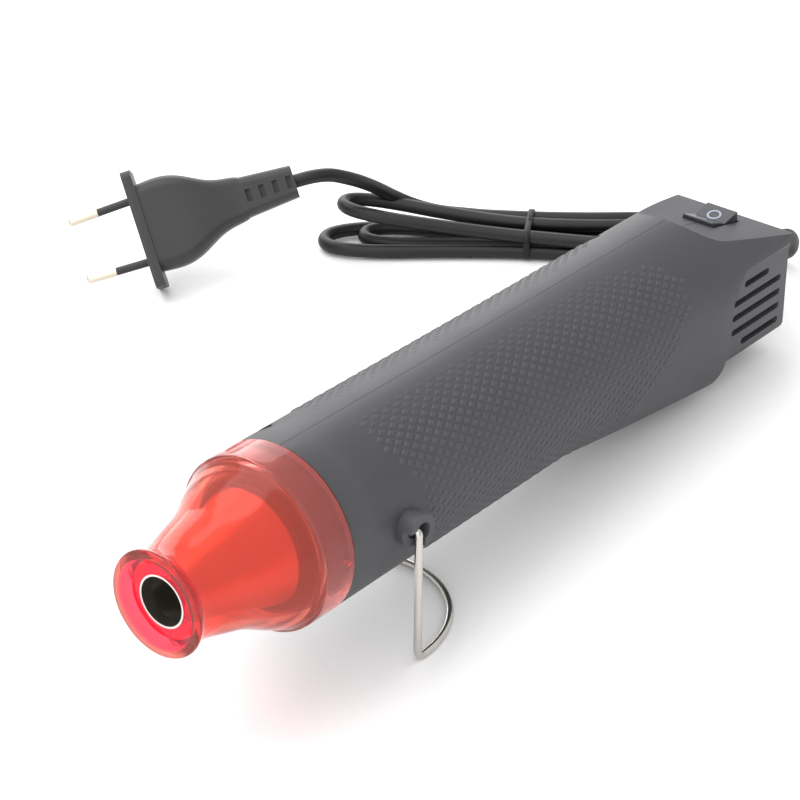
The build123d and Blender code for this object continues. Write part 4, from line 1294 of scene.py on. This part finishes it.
FINISHES: Dict[str, Finish] = {
    # The housing's finish paints a shade line round the nose, in the gap where the guard's collar
    # meets it.
    "housing": Finish(
        "housing_satin", linear(68, 68, 71), linear(60, 60, 63), roughness=0.50, spread=0.05,
        scale=2600.0, relief=0.00003, edge_wear=0.25, specular=0.30, seam_and_gap_shade_width=0.00024,
        collar_gap_shade_station=0.04268),
    "dark_plastic": Finish(
        "dark_moulding", linear(38, 38, 40), linear(30, 30, 32), roughness=0.5, spread=0.06,
        relief=0.00003),
    "screw_steel": Finish(
        "plated_steel", (0.62, 0.62, 0.63), (0.50, 0.50, 0.52), roughness=0.32, spread=0.08,
        metallic=1.0, grain=Grain.BRUSHED, scale=3000.0, relief=0.00001),
    "nozzle_steel": Finish(
        "bare_steel", (0.72, 0.70, 0.67), (0.58, 0.55, 0.50), roughness=0.30, spread=0.08,
        metallic=1.0, grain=Grain.BRUSHED, scale=2500.0, relief=0.00001),
    "mica": Finish(
        "mica_sheet", (0.62, 0.54, 0.38), (0.74, 0.67, 0.52), roughness=0.42, spread=0.1,
        grain=Grain.FLAKED, scale=2500.0, relief=0.00004),
    "coil_wire": Finish(
        "resistance_wire", (0.42, 0.38, 0.34), (0.30, 0.27, 0.25), roughness=0.45, spread=0.1,
        metallic=1.0, grain=Grain.DRAWN, scale=4000.0, relief=0.00001),
    "aluminium": Finish(
        "drawn_aluminium", (0.78, 0.78, 0.79), (0.66, 0.66, 0.68), roughness=0.34, spread=0.07,
        metallic=1.0, grain=Grain.BRUSHED, scale=3000.0, relief=0.00001),
    "magnet": Finish(
        "dark_iron", (0.10, 0.10, 0.11), (0.06, 0.06, 0.065), roughness=0.55, spread=0.1,
        metallic=0.6, scale=3000.0, relief=0.00003),
    "brass": Finish(
        "bright_brass", (0.80, 0.60, 0.28), (0.66, 0.47, 0.20), roughness=0.30, spread=0.08,
        metallic=1.0, grain=Grain.BRUSHED, scale=3000.0, relief=0.00001),
    "board": Finish(
        "board_laminate", (0.36, 0.24, 0.10), (0.28, 0.18, 0.07), roughness=0.5, spread=0.08,
        grain=Grain.FLAKED, scale=3000.0, relief=0.00002),
    "capacitor": Finish(
        "capacitor_coat", (0.07, 0.13, 0.33), (0.05, 0.09, 0.26), roughness=0.32, spread=0.06,
        coat=0.3),
    "wire_sleeve": Finish(
        "woven_sleeve", (0.66, 0.64, 0.58), (0.50, 0.48, 0.43), roughness=0.7, spread=0.08,
        grain=Grain.FLAKED, scale=5000.0, relief=0.00005),
    "rocker": Finish(
        "rocker_plastic", linear(40, 41, 46), linear(34, 35, 40), roughness=0.34, spread=0.05,
        relief=0.00001, edge_wear=0.2),
    "cord_pvc": Finish(
        "cord_pvc", linear(15, 15, 16), linear(10, 10, 11), roughness=0.45, spread=0.07,
        scale=2400.0, relief=0.00004, specular=0.4),
    "stand_wire": Finish(
        "nickel_wire", (0.60, 0.58, 0.55), (0.46, 0.44, 0.41), roughness=0.20, spread=0.08,
        metallic=1.0, grain=Grain.DRAWN, scale=4000.0, relief=0.000008),
    "tie": Finish(
        "tie_plastic", linear(14, 14, 15), linear(10, 10, 11), roughness=0.5, spread=0.06,
        specular=0.3),
    "plug": Finish(
        "plug_moulding", linear(46, 46, 48), linear(38, 38, 40), roughness=0.45, spread=0.05,
        scale=2400.0, relief=0.00004, edge_wear=0.2, specular=0.4),
    "pin_metal": Finish(
        "pin_nickel", (0.64, 0.59, 0.49), (0.52, 0.47, 0.38), roughness=0.36, spread=0.06,
        metallic=1.0, grain=Grain.BRUSHED, scale=3000.0, relief=0.000008),
    "sleeve": Finish(
        "sleeve_moulding", linear(24, 24, 26), linear(18, 18, 20), roughness=0.42, spread=0.05,
        scale=2400.0),
    "guard_pin": Finish(
        "red_pin", linear(196, 60, 58), linear(150, 34, 34), roughness=0.35, spread=0.05, coat=0.2),
    "print": Finish(
        "pale_print", linear(160, 163, 180), linear(146, 149, 166), roughness=0.5, spread=0.05),
}


def main() -> None:
    """Build every sub-assembly in order."""
    logging.basicConfig(level=logging.INFO, format="%(message)s")
    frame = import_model()
    nodes = frame["nodes"]
    Camera().build()
    materials = {slot: finish.build() for slot, finish in FINISHES.items()}
    materials["guard"] = ClearRed().build()
    cord = FreeCord()
    curve = cord.build(materials["cord_pvc"])
    tie = HankTie().build(materials["tie"])
    cord.declare()
    for part in frame["record"]["subparts"]:
        dress(nodes[part["node"]], materials[part["material_slot"]])
        log.info("dressed %s", part["node"])
    for half in ("housing_left", "housing_right"):
        heal_seam(nodes[half])
    dress(nodes["guard_pins"], materials["guard_pin"])
    dress(nodes["pin_sleeves"], materials["sleeve"])
    Knurl("grip_tiles_left", "housing_left", 1.0).build(nodes, materials["housing"])
    Knurl("grip_tiles_right", "housing_right", -1.0).build(nodes, materials["housing"])
    RockerMarks().build(nodes, materials["print"])
    Studio().build()


if __name__ == "__main__":
    main()
